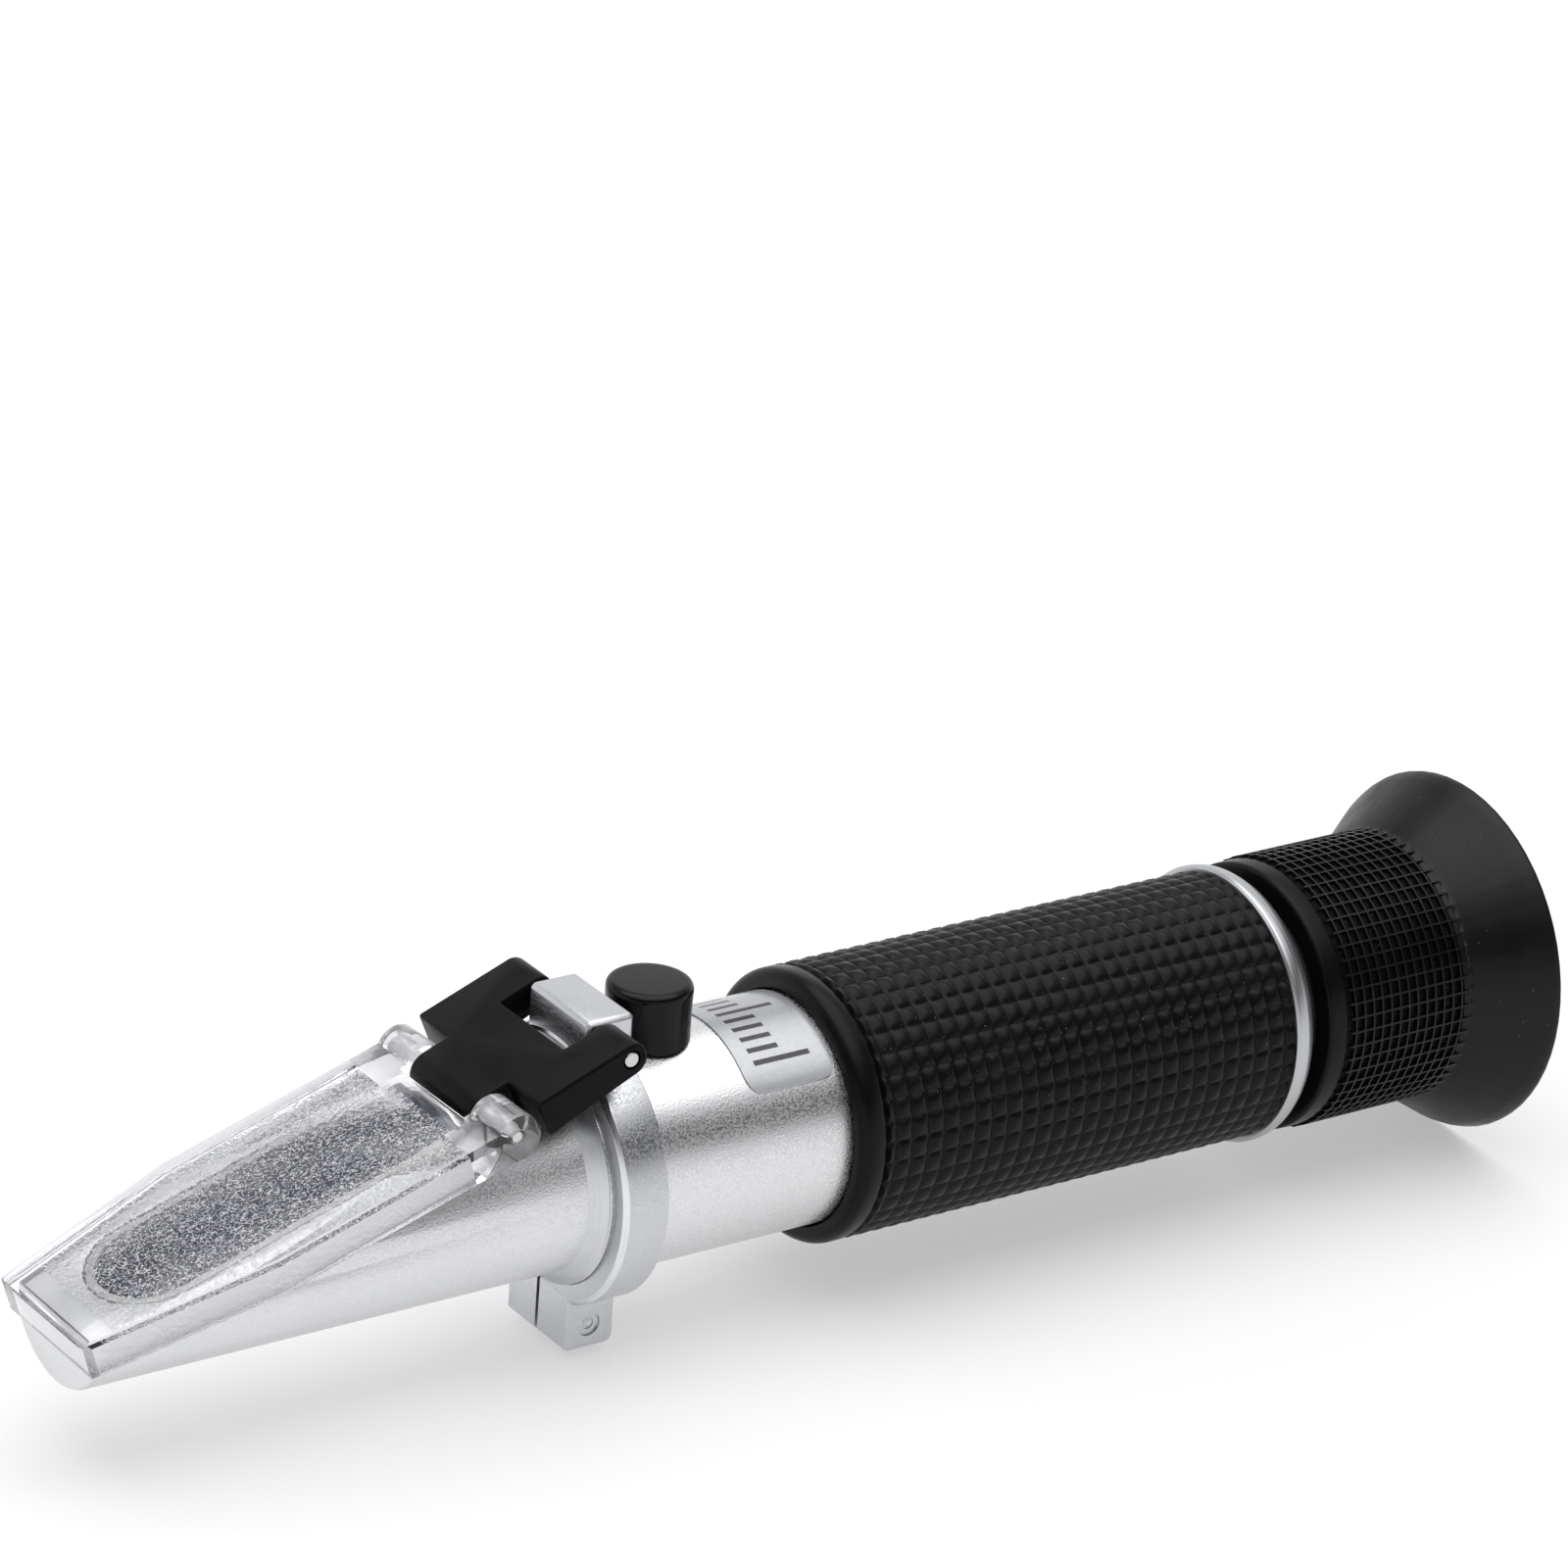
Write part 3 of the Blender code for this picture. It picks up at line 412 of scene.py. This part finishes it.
def rounded(points, steps=4):
    """A closed outline of (x, y, setback) corners, each rounded from its setback."""
    outline = []
    for index, (x, y, setback) in enumerate(points):
        corner = Vector((x, y))
        if setback == 0.0:
            outline.append((x, y))
            continue
        before = Vector(points[index - 1][:2])
        after = Vector(points[(index + 1) % len(points)][:2])
        start = corner + (before - corner).normalized() * setback
        end = corner + (after - corner).normalized() * setback
        for step in range(steps + 1):
            t = step / steps
            point = start * (1 - t) ** 2 + corner * (2 * t * (1 - t)) + end * t ** 2
            outline.append(tuple(point))
    return outline


def arc(centre, radius, start, end, steps):
    """Points along an arc, angles in degrees."""
    return [(centre[0] + radius * math.cos(math.radians(start + (end - start) * i / steps)),
             centre[1] + radius * math.sin(math.radians(start + (end - start) * i / steps)))
            for i in range(steps + 1)]


def extrude(outline, low, high, along="Z"):
    """A flat outline as a solid: (x, y) points from low to high along Z, or (x, z) points along Y."""
    bm = bmesh.new()
    layers = []
    for level in (low, high):
        layers.append([bm.verts.new((a, b, level) if along == "Z" else (a, level, b)) for a, b in outline])
    for layer in layers:
        bm.faces.new(layer)
    for index in range(len(outline)):
        after = (index + 1) % len(outline)
        bm.faces.new((layers[0][index], layers[0][after], layers[1][after], layers[1][index]))
    bmesh.ops.recalc_face_normals(bm, faces=bm.faces)
    return bm


def block(x_span, y_span, z_span):
    spans = (x_span, y_span, z_span)
    bm = bmesh.new()
    size = Matrix.Diagonal([high - low for low, high in spans] + [1.0])
    centre = Matrix.Translation([(high + low) / 2 for low, high in spans])
    bmesh.ops.create_cube(bm, size=1.0, matrix=centre @ size)
    return bm


def rod(axis, centre, radius, length, steps=48):
    turn = {"X": Matrix.Rotation(math.pi / 2, 4, "Y"), "Y": Matrix.Rotation(math.pi / 2, 4, "X"),
            "Z": Matrix.Identity(4)}[axis]
    bm = bmesh.new()
    bmesh.ops.create_cone(bm, cap_ends=True, segments=steps, radius1=radius, radius2=radius,
                          depth=length, matrix=Matrix.Translation(centre) @ turn)
    return bm


def shape(bm, matrix=None):
    """A working object from a bmesh, which the tools below cut, join and round."""
    if matrix is not None:
        bmesh.ops.transform(bm, matrix=matrix, verts=bm.verts)
    mesh = bpy.data.meshes.new("work")
    bm.to_mesh(mesh)
    bm.free()
    made = bpy.data.objects.new("work", mesh)
    bpy.context.scene.collection.objects.link(made)
    return made


def apply_modifiers(target):
    bpy.context.view_layer.update()
    mesh = bpy.data.meshes.new_from_object(target.evaluated_get(bpy.context.evaluated_depsgraph_get()))
    target.modifiers.clear()
    target.data = mesh
    return target


def combine(target, operation, *tools):
    for tool in tools:
        step = target.modifiers.new("step", "BOOLEAN")
        step.operation = operation
        step.solver = "EXACT"
        step.object = tool
    apply_modifiers(target)
    for tool in tools:
        bpy.data.objects.remove(tool)
    return target


def cut(target, *tools):
    return combine(target, "DIFFERENCE", *tools)


def join(target, *tools):
    return combine(target, "UNION", *tools)


def round_edges(target, width, segments=2, angle=35):
    step = target.modifiers.new("round", "BEVEL")
    step.width = width
    step.segments = segments
    step.limit_method = "ANGLE"
    step.angle_limit = math.radians(angle)
    step.harden_normals = False
    return apply_modifiers(target)


def tidy(target):
    """Joins doubled points and flat neighbouring faces, so that edges can be rounded."""
    bm = bmesh.new()
    bm.from_mesh(target.data)
    bmesh.ops.remove_doubles(bm, verts=bm.verts, dist=0.002)
    bmesh.ops.dissolve_limit(bm, angle_limit=math.radians(0.5), verts=bm.verts, edges=bm.edges)
    bm.to_mesh(target.data)
    bm.free()
    return target


def split_across(target, station):
    """Adds an edge loop round the target in the plane x = station."""
    bm = bmesh.new()
    bm.from_mesh(target.data)
    everything = bm.verts[:] + bm.edges[:] + bm.faces[:]
    bmesh.ops.bisect_plane(bm, geom=everything, dist=1e-4, plane_co=(station, 0, 0), plane_no=(1, 0, 0))
    bm.to_mesh(target.data)
    bm.free()


# ---------------------------------------------------------------- pieces

def finish_piece(name, target, matrix, node, body, slot, *finishes, choose=None):
    """Names a working object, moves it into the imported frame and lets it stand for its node.

    choose gives a face the index of its finish, from the face's centre and normal in
    the working frame.
    """
    mesh = target.data
    mesh.materials.clear()
    for finish in finishes:
        mesh.materials.append(finish)
    for face in mesh.polygons:
        face.material_index = choose(face.center, face.normal) if choose else 0
    mesh.transform(matrix)
    mesh.shade_smooth()
    mesh.set_sharp_from_angle(angle=math.radians(33))
    target.name = name
    mesh.name = name
    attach(target, body)
    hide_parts(node)
    return target


def polished(node, body, slot, *finishes, width=0.12, choose=None):
    """A node's own shape with its edges rounded and its curved faces smooth."""
    bm = bmesh.new()
    bm.from_mesh(nodes[node].data)
    target = tidy(shape(bm, AXIS.inverted()))
    if width:
        round_edges(target, width)
    finish_piece(f"{node}_finished", target, AXIS, node, body, slot, *finishes, choose=choose)


# The tube and the trim ring reach this far forward over the clearance gaps that the CAD keeps there.
TUBE_LAP, TRIM_LAP = 0.25, 0.27


def main_tube():
    front, rear, radius = span("main_tube")
    front -= TUBE_LAP
    bore = radius - 1.3
    tube = shape(turned(rounded([(front, radius, 0.25), (rear, radius, 0.2), (rear, bore, 0.2),
                                 (front, bore, 0.25)])))
    hole_x = (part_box("calibration_bush")[0].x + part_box("calibration_bush")[1].x) / 2
    cut(tube, shape(rod("Z", ((hole_x - ORIGIN.x) / MM, 0.0, radius), 2.9, 8.0)))
    finish_piece("main_tube_shell", tube, AXIS, "main_tube", "body", "satin_aluminium", tube_metal)


def clamp_ring():
    front, rear, radius, bore = -5.05, 0.0, 14.24, 12.03
    ring = shape(turned(rounded([(front, radius - 0.5, 0.05), (front + 0.45, radius, 0.1),
                                 (rear, radius, 0.15), (rear, bore, 0.2), (front, bore, 0.1)])))
    lug = round_edges(shape(block((-4.8, 0.7), (-5.38, 5.38), (12.4, 17.6))), 0.45, 1)
    round_edges(lug, 0.1)
    ears = shape(extrude(rounded([(-5.1, -12.4, 0.0), (-5.1, -18.4, 0.6), (0.5, -18.4, 0.9),
                                  (0.5, -12.9, 0.8), (-0.3, -12.4, 0.0)]), -5.2, 5.2, "Y"))
    round_edges(ears, 0.14, 2, 50)
    join(ring, lug, ears)
    pin = AXIS.inverted() @ REAR_PIN
    cut(ring, shape(rod("X", (0, 0, 0), bore, 40.0, 144)),
        shape(block((-10, 10), (-0.25, 0.25), (-25, -10))),
        shape(rod("Y", (-2.35, 0.0, -15.9), 1.3, 30.0)),
        shape(rod("Y", pin, 1.0, 30.0)))

    def pick(centre, normal):
        off_axis = math.hypot(centre.y, centre.z)
        chamfer = centre.x < front + 0.5 and radius - 0.55 < off_axis < radius + 0.02
        return 1 if chamfer and 0.3 < -normal.x < 0.95 else 0

    finish_piece("clamp_ring_finished", ring, AXIS, "clamp_ring", "body", "satin_aluminium", cast_metal,
                 bright_metal, choose=pick)


def prism_housing():
    """The blasted cone, with its turned shoulder and the machined land round the prism."""
    face = FACE_IN_AXIS.inverted()

    def pick(centre, normal):
        on_face = face @ centre
        if -7.05 < centre.x < -6.7 and math.hypot(centre.y, centre.z) > 10.0:
            return 3
        if -7.1 < centre.x < -5.2:
            return 1
        return 2 if on_face.z > -0.2 and (face.to_3x3() @ normal).z > 0.0 else 0

    polished("prism_housing", "body", "satin_aluminium", housing_metal, shoulder_metal, land_metal,
             bright_metal, choose=pick)


def tube_label():
    front, rear, _ = span("tube_label")
    low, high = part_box("tube_label")
    half = (high.y - low.y) / 2 / MM
    outer = (high.z - ORIGIN.z) / MM
    corner = 1.7
    inner = outer - 0.1
    plan = rounded([(front, half, corner), (rear, half, corner),
                    (rear, -half, corner), (front, -half, corner)], 8)
    film = shape(turned([(front - 1, outer), (rear + 1, outer), (rear + 1, inner), (front - 1, inner)], 240))
    combine(film, "INTERSECT", shape(extrude(plan, 4.0, 20.0)))
    finish_piece("tube_label_film", film, AXIS, "tube_label", "body", "label_foil", label_foil)


def calibration_cap():
    low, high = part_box("calibration_cap")
    centre = ((low + high) / 2 - ORIGIN) / MM
    radius = (high.x - low.x) / 2 / MM
    top = (high.z - ORIGIN.z) / MM
    outline = rounded([(top - 0.12, 0.0, 0.0), (top, radius, 0.95), (15.0, radius - 0.12, 1.5),
                       (12.6, radius - 0.1, 0.9), (10.0, radius, 0.0), (10.0, 3.1, 0.0),
                       (16.2, 3.1, 0.3), (16.2, 0.0, 0.0)], 6)
    upright = Matrix.Translation((centre.x, 0.0, 0.0)) @ Matrix.Rotation(-math.pi / 2, 4, "Y")
    cap = shape(turned(outline, 96), upright)
    cut(cap, shape(rod("X", (0, 0, 0), 12.3, 40.0, 192)))
    round_edges(cap, 0.12, 2, 50)
    finish_piece("calibration_cap_rubber", cap, AXIS, "calibration_cap", "calibration_cap", "black_rubber",
                 cap_rubber)


# Grip texture: low square pyramids with rounded tops, a whole number round the sleeve. The steps are the
# stations across one pyramid, as shares of its pitch, and the fall is the power by which its height drops.
GRIP_COLUMNS, GRIP_PITCH, GRIP_FIRST = 39, 1.968, 27.29
GRIP_PHASE = math.radians(5.8)
PYRAMID_HEIGHT, PYRAMID_FALL = 0.34, 2.4
PYRAMID_STEPS = (0.0, 0.09, 0.28, 0.5, 0.72, 0.91)


def grip_sleeve():
    front, rear, radius = span("grip_sleeve")
    bore, bead = 12.3, radius - 0.05
    groove = 26.1
    lead = [(rear, bore), (front, bore)] + arc((front + 1.2, bead - 1.2), 1.2, 180, 90, 8)
    lead += [(groove - 0.45, bead), (groove - 0.2, bead - 0.15), (groove - 0.1, bead - 0.5),
             (groove + 0.15, bead - 0.5), (groove + 0.3, bead - 0.3)]
    cells = range(math.ceil((rear - GRIP_FIRST) / GRIP_PITCH) + 1)
    stations = [GRIP_FIRST + (cell - 1 + step) * GRIP_PITCH for cell in cells for step in PYRAMID_STEPS]
    stations = [groove + 0.4] + [x for x in stations if groove + 0.45 < x < rear - 0.05] + [rear]

    def height(x, angle):
        across = abs(((x - GRIP_FIRST) / GRIP_PITCH) % 1.0 - 0.5) * 2
        around = abs((angle - GRIP_PHASE) / (2 * math.pi) * GRIP_COLUMNS % 1.0 - 0.5) * 2
        slope = max(across, around)
        return PYRAMID_HEIGHT * (1 - slope ** PYRAMID_FALL)

    sections = []
    for column in range(GRIP_COLUMNS):
        for step in PYRAMID_STEPS:
            angle = GRIP_PHASE + 2 * math.pi * (column + step) / GRIP_COLUMNS
            texture = [(x, radius - PYRAMID_HEIGHT + height(x, angle)) for x in stations]
            sections.append((angle, lead + texture))

    def pick(centre, _normal):
        return 1 if centre.x < groove - 0.3 else 0

    finish_piece("grip_sleeve_rubber", shape(revolve(sections)), AXIS, "grip_sleeve", "body", "black_rubber",
                 grip_rubber, collar_rubber, choose=pick)


def trim_ring():
    front, rear, radius = span("trim_ring")
    front -= TRIM_LAP
    outline = rounded([(front, radius - 0.3, 0.0), (front + 0.3, radius, 0.15),
                       (rear - 1.3, radius - 0.04, 0.5), (rear, radius - 0.9, 0.4),
                       (rear, 12.3, 0.1), (front, 12.3, 0.1)], 6)
    finish_piece("trim_ring_turned", shape(turned(outline, 192)), AXIS, "trim_ring", "body", "trim_aluminium",
                 trim_metal)


def focus_ring():
    front, rear, radius = span("focus_ring")
    cup_front = span("eyecup")[0]
    outline = rounded([(front, 11.9, 0.0), (front, radius, 0.5), (cup_front - 0.02, radius, 0.08),
                       (cup_front - 0.02, 12.9, 0.0), (rear, 12.9, 0.3), (rear, 9.3, 0.2),
                       (rear - 2, 9.3, 0.0), (rear - 2, 11.9, 0.0)], 6)
    finish_piece("focus_ring_collar", shape(turned(outline, 192)), AXIS, "focus_ring", "eyepiece",
                 "block_plastic", collar_rubber)


# Eyecup net: raised ridges on a sunk band, the long ones running out as spikes on the flare.
NET_COLUMNS, NET_PITCH, NET_FIRST, NET_LAST = 59, 1.18, 85.45, 99.6
NET_PHASE = math.radians(23.6)
RIDGE_WIDTH, RIDGE_FOOT, NET_DEPTH = 0.20, 0.07, 0.36


def eyecup():
    front, rear, radius = span("eyecup")
    band = 14.6
    flare = [(99.95, band - NET_DEPTH), (100.6, 14.38), (101.2, 14.7), (101.9, 15.2), (102.7, 15.75),
             (103.9, 16.55), (105.6, 17.65), (107.5, 18.9)]
    rim = [(108.3, radius - 0.12), (rear - 0.45, radius), (rear - 0.12, radius - 0.06), (rear, radius - 0.25),
           (rear - 0.02, radius - 0.45)]
    bowl = [(106.4, 17.2), (105.0, 16.1), (103.6, 14.9), (102.2, 13.6), (101.0, 12.3), (100.0, 10.8),
            (99.4, 9.7), (98.8, 9.3)]
    bore = [(94.3, 9.3), (94.3, 13.2), (front, 13.2)]
    edges = [NET_FIRST + NET_PITCH * k + side * offset
             for k in range(round((NET_LAST - NET_FIRST) / NET_PITCH) + 1)
             for side, offset in ((-1, RIDGE_WIDTH / 2 + RIDGE_FOOT), (-1, RIDGE_WIDTH / 2),
                                  (1, RIDGE_WIDTH / 2), (1, RIDGE_WIDTH / 2 + RIDGE_FOOT))]

    def on_cross_ridge(x):
        nearest = NET_FIRST + NET_PITCH * round((x - NET_FIRST) / NET_PITCH)
        return NET_FIRST - 0.3 < x < NET_LAST + 0.3 and abs(x - nearest) < RIDGE_WIDTH / 2 + 0.01

    def section(on_ridge):
        floor = band - NET_DEPTH
        outline = [(front, floor - 0.1), (front + 0.1, floor), (front + 0.45, band if on_ridge else floor)]
        for x in edges:
            raised = on_ridge or on_cross_ridge(x)
            outline.append((x, band if raised else floor))
        swept = [(x, max(radius, band) if on_ridge else radius) for x, radius in smooth_line(flare)]
        return outline + swept + rim + smooth_line(bowl) + bore

    half = math.radians(360 / NET_COLUMNS)
    ridge = RIDGE_WIDTH / band / 2
    foot = ridge + RIDGE_FOOT / band
    sections = []
    for column in range(NET_COLUMNS):
        centre = NET_PHASE + half * column
        for offset, on_ridge in ((-foot, False), (-ridge, True), (ridge, True), (foot, False)):
            sections.append((centre + offset, section(on_ridge)))

    def pick(centre, _normal):
        return 1 if centre.x < 100.2 and 14.0 < math.hypot(centre.y, centre.z) < band - 0.1 else 0

    finish_piece("eyecup_rubber", shape(revolve(sections)), AXIS, "eyecup", "eyepiece", "black_rubber",
                 smooth_rubber, net_rubber, choose=pick)


CURVE_STEPS = 4


def smooth_line(points):
    """A smooth curve through the points."""
    line = []
    padded = [points[0]] + points + [points[-1]]
    for index in range(len(points) - 1):
        a, b, c, d = (Vector(point) for point in padded[index:index + 4])
        for step in range(CURVE_STEPS):
            t = step / CURVE_STEPS
            line.append(tuple(0.5 * (2 * b + (c - a) * t + (2 * a - 5 * b + 4 * c - d) * t ** 2
                                     + (3 * b - a - 3 * c + d) * t ** 3)))
    return line + [tuple(points[-1])]


def link_outline(margin=0.0):
    """Side view of the hinge block in the block frame."""
    nose, tail = 2.2, 1.75
    spread_angle = math.degrees(math.asin((nose - tail) / PIN_PITCH))
    rear = arc((0.0, 0.0), tail + margin, -90 + spread_angle, 90 - spread_angle, 24)
    return rear + arc((-PIN_PITCH, 0.0), nose + margin, 90 - spread_angle, 270 + spread_angle, 32)


def hinge_block():
    half, tongue, shoulder = 11.0, 5.55, 3.1
    body = shape(extrude(link_outline(), -half, half, "Y"))
    bays = [shape(block((-30, shoulder - PIN_PITCH), sorted((side * tongue, side * 15)), (-10, 10)))
            for side in (-1, 1)]
    cut(body, *bays, shape(block((-4.2, 5), (-5.8, 5.8), (-10, 10))))
    round_edges(tidy(body), 0.32, 3, 50)
    lower_sides = [shape(block((-30, 30), sorted((side * (half - 0.12), side * 15)), (-10, -0.55)))
                   for side in (-1, 1)]
    seats = [shape(rod("Y", (0.0, side * half, 0.0), 1.3, 0.24)) for side in (-1, 1)]
    seams = []
    for side in (-1, 1):
        seam = shape(extrude(link_outline(-0.3), *sorted((side * (half - 0.05), side * 15)), "Y"))
        cut(seam, shape(extrude(link_outline(-0.4), -20, 20, "Y")),
            shape(block((-30, 30), (-20, 20), (-10, 1.2))))
        seams.append(seam)
    cut(body, *lower_sides, *seats, *seams)
    cut(body, shape(rod("Y", (0, 0, 0), 1.0, 30)), shape(rod("Y", (-PIN_PITCH, 0, 0), 0.85, 30)))
    finish_piece("hinge_block_moulding", body, BLOCK, "hinge_block", "hinge_block", "block_plastic",
                 block_plastic)


PLATE_FRONT, PLATE_FLARE, PLATE_REAR = -47.2, -27.0, -2.75
PLATE_TOP, PLATE_WALL, SKIRT_DEPTH = 1.47, 1.3, 3.76
EAR_RADIUS, EAR_INNER, EAR_BLOCK = 2.4, 5.9, -5.2
FROST_FRONT, FROST_REAR = -43.4, -4.45
PLATE_HALF_FRONT, PLATE_HALF = 7.9, 11.2


def plate_outline(front, rear, margin):
    half_front, half = PLATE_HALF_FRONT - margin, PLATE_HALF - margin
    near = [(front, -half_front), (PLATE_FLARE, -half), (rear, -half)]
    return near + [(u, -y) for u, y in reversed(near)]


def daylight_plate():
    bottom = PLATE_TOP - SKIRT_DEPTH
    plate = shape(extrude(plate_outline(PLATE_FRONT, 0.0, 0.0), bottom, PLATE_TOP))
    for side in (-1, 1):
        ear_middle = (0.0, side * (EAR_INNER + PLATE_HALF) / 2, 0.0)
        join(plate, shape(rod("Y", ear_middle, EAR_RADIUS, PLATE_HALF - EAR_INNER, 64)))
    under = PLATE_TOP - PLATE_WALL
    inside = plate_outline(PLATE_FRONT + PLATE_WALL, EAR_BLOCK, PLATE_WALL)
    cut(plate, shape(extrude(inside, -10.0, under)),
        shape(block((PLATE_REAR, 5), (-EAR_INNER, EAR_INNER), (-10, 10))),
        shape(block((EAR_BLOCK - 1, 5), (-EAR_INNER, EAR_INNER), (-10, under))),
        shape(rod("Y", (0, 0, 0), 0.85, 30)))
    round_edges(tidy(plate), 0.15, 2, 40)
    for station in (FROST_FRONT, FROST_REAR):
        split_across(plate, station)

    def pick(centre, normal):
        if FROST_FRONT < centre.x < FROST_REAR and normal.z < -0.9 and abs(centre.z - under) < 0.05:
            return 1
        inner_side = abs(normal.y) > 0.5 and normal.y * centre.y < 0 and centre.x < EAR_BLOCK - 1
        inner_front = normal.x > 0.5 and centre.x < FROST_FRONT
        top_edge = centre.z > PLATE_TOP - 0.2 and 0.2 < normal.z < 0.95 and centre.x < EAR_BLOCK
        ear_floor = normal.z < -0.5 and centre.x > EAR_BLOCK and abs(centre.y) > EAR_INNER
        if ear_floor:
            return 3
        return 2 if inner_side or inner_front or top_edge else 0

    finish_piece("daylight_plate_clear", plate, FACE, "daylight_plate", "daylight_plate", "clear_acrylic",
                 clear_acrylic, frosted_acrylic, hazed_acrylic, milky_acrylic, choose=pick)


def clamp_screw():
    """Headless screw across the ears: slotted at the far end, centre-drilled at the near one."""
    low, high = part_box("clamp_screw")
    centre = AXIS.inverted() @ ((low + high) / 2)
    half, radius = (high.y - low.y) / 2 / MM, 1.29
    across = Matrix.Rotation(math.pi / 2, 4, "Z")
    outline = rounded([(-half, 0.0, 0.0), (-half, radius, 0.0), (half, radius, 0.08), (half, 0.0, 0.0)])
    screw = shape(turned(outline, 64), across)
    dimple = shape(turned([(-half - 0.2, 0.0), (-half - 0.2, 0.66), (-half + 0.12, 0.62),
                           (-half + 0.42, 0.0)], 48), across)
    cut(screw, dimple, shape(block((-5, 5), (half - 0.7, half + 1), (-0.2, 0.2))))
    finish_piece("clamp_screw_turned", screw, AXIS @ Matrix.Translation(centre), "clamp_screw", "body",
                 "pin_steel", cast_metal)


def pins_and_screws():
    for node, body, matrix in (("hinge_pin_front", "hinge_block", FACE), ("hinge_pin_rear", "body", BLOCK)):
        low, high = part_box(node)
        radius, half = (high.z - low.z) / 2 / MM, (high.y - low.y) / 2 / MM
        outline = rounded([(-half, 0.0, 0.0), (-half, radius, 0.2), (half, radius, 0.2), (half, 0.0, 0.0)])
        pin = shape(turned(outline, 48), Matrix.Rotation(math.pi / 2, 4, "Z"))
        finish_piece(f"{node}_turned", pin, matrix, node, body, "pin_steel", steel)


tube_metal = blasted_metal("tube_aluminium", (0.75, 0.755, 0.76), 0.35, 0.000021)
housing_metal = blasted_metal("housing_aluminium", (0.75, 0.755, 0.76), 0.40, 0.000045)
cast_metal = blasted_metal("clamp_aluminium", (0.60, 0.61, 0.63), 0.36, 0.000011)
shoulder_metal = turned_metal("shoulder_aluminium", (0.72, 0.73, 0.75), 0.36)
land_metal = blasted_metal("land_aluminium", (0.86, 0.86, 0.855), 0.5, 0.00002)
bright_metal = turned_metal("cut_aluminium", (0.84, 0.85, 0.86), 0.25)
trim_metal = turned_metal("trim_aluminium", (0.54, 0.55, 0.56), 0.34)
steel = turned_metal("pin_steel", (0.66, 0.66, 0.64), 0.25, (2500.0, 9000.0, 2500.0))
brass = turned_metal("bush_brass", (0.72, 0.53, 0.25), 0.3, (2500.0, 2500.0, 9000.0))
bimetal = turned_metal("bimetal", (0.68, 0.6, 0.48), 0.32, (300.0, 9000.0, 9000.0))
grip_rubber = rubber("grip_rubber", (0.003, 0.003, 0.0032), 0.34, dust=0.05, gloss=0.14)
smooth_rubber = rubber("eyecup_rubber", (0.0035, 0.0035, 0.0037), 0.36, 1800.0, 0.000008, dust=0.035,
                       gloss=0.22)
cap_rubber = rubber("cap_rubber", (0.003, 0.003, 0.0035), 0.2, 1500.0, 0.000008, gloss=0.17)
collar_rubber = rubber("collar_rubber", (0.003, 0.003, 0.0032), 0.30, 1800.0, 0.000008, gloss=0.12)
net_rubber = rubber("net_rubber", (0.002, 0.002, 0.0022), 0.5, 1800.0, 0.00001, dust=0.05, gloss=0.06)
ring_rubber = rubber("oring_rubber", (0.015, 0.015, 0.015), 0.55)
block_plastic = rubber("block_plastic", (0.003, 0.003, 0.0033), 0.34, 2600.0, 0.00002, gloss=0.09)
inner_black = rubber("inner_black", (0.018, 0.018, 0.02), 0.55, 3000.0)
cement = rubber("cement", (0.45, 0.45, 0.43), 0.7, 1500.0, 0.00004)
clear_acrylic = clear_plastic()
frosted_acrylic = frosted_plastic()
hazed_acrylic = hazed_plastic("hazed_acrylic", 0.6, 0.24, 0.32)
milky_acrylic = hazed_plastic("milky_acrylic", 0.0, 0.65, 0.3)
glass = lens_glass()
slate_glass = prism_glass()
label_foil = label_film()

add_camera()
add_stage()
add_world()
add_area_light("softbox_top", (0.05, 0.1, 1.3), (0.05, 0.1, 0.0), (1.8, 1.7), 14.0)
bpy.context.scene.view_settings.view_transform = "Standard"

main_tube()
clamp_ring()
tube_label()
calibration_cap()
grip_sleeve()
trim_ring()
focus_ring()
eyecup()
hinge_block()
daylight_plate()
clamp_screw()
pins_and_screws()

PLAIN_FINISHES = (
    ("measuring_prism", "body", "prism_glass", slate_glass, 0.15),
    ("prism_seal", "body", "cement", cement, 0.0),
    ("housing_oring", "body", "black_rubber", ring_rubber, 0.0),
    ("calibration_screw", "calibration_screw", "pin_steel", steel, 0.1),
    ("calibration_bush", "body", "bush_brass", brass, 0.15),
    ("compensator_bracket", "body", "satin_aluminium", cast_metal, 0.15),
    ("glare_stop", "body", "inner_black", inner_black, 0.12),
    ("reticle_mount", "body", "inner_black", inner_black, 0.12),
    ("reticle_retaining_ring", "body", "inner_black", inner_black, 0.12),
    ("eyepiece_mount", "body", "inner_black", inner_black, 0.12),
    ("lens_carriage", "lens_frame", "inner_black", inner_black, 0.12),
    ("lens_lock_ring", "lens_frame", "inner_black", inner_black, 0.12),
    ("eyepiece_barrel", "lens_barrel", "inner_black", inner_black, 0.12),
    ("lens_spacer", "lens_barrel", "inner_black", inner_black, 0.12),
    ("lens_retaining_ring", "lens_barrel", "inner_black", inner_black, 0.12),
    ("field_lens", "lens_barrel", "lens_glass", glass, 0.0),
    ("eye_lens", "lens_barrel", "lens_glass", glass, 0.0),
    ("objective_lens", "lens_frame", "lens_glass", glass, 0.0),
    ("reticle", "body", "lens_glass", glass, 0.1),
    ("guide_pin", "lens_barrel", "pin_steel", steel, 0.12),
    ("strip_screw_front", "lens_frame", "pin_steel", steel, 0.1),
    ("strip_screw_rear", "body", "pin_steel", steel, 0.1),
    ("bimetal_strip", "lens_frame", "bimetal", bimetal, 0.1),
)
prism_housing()
for node, body, slot, finish, width in PLAIN_FINISHES:
    polished(node, body, slot, finish, width=width)
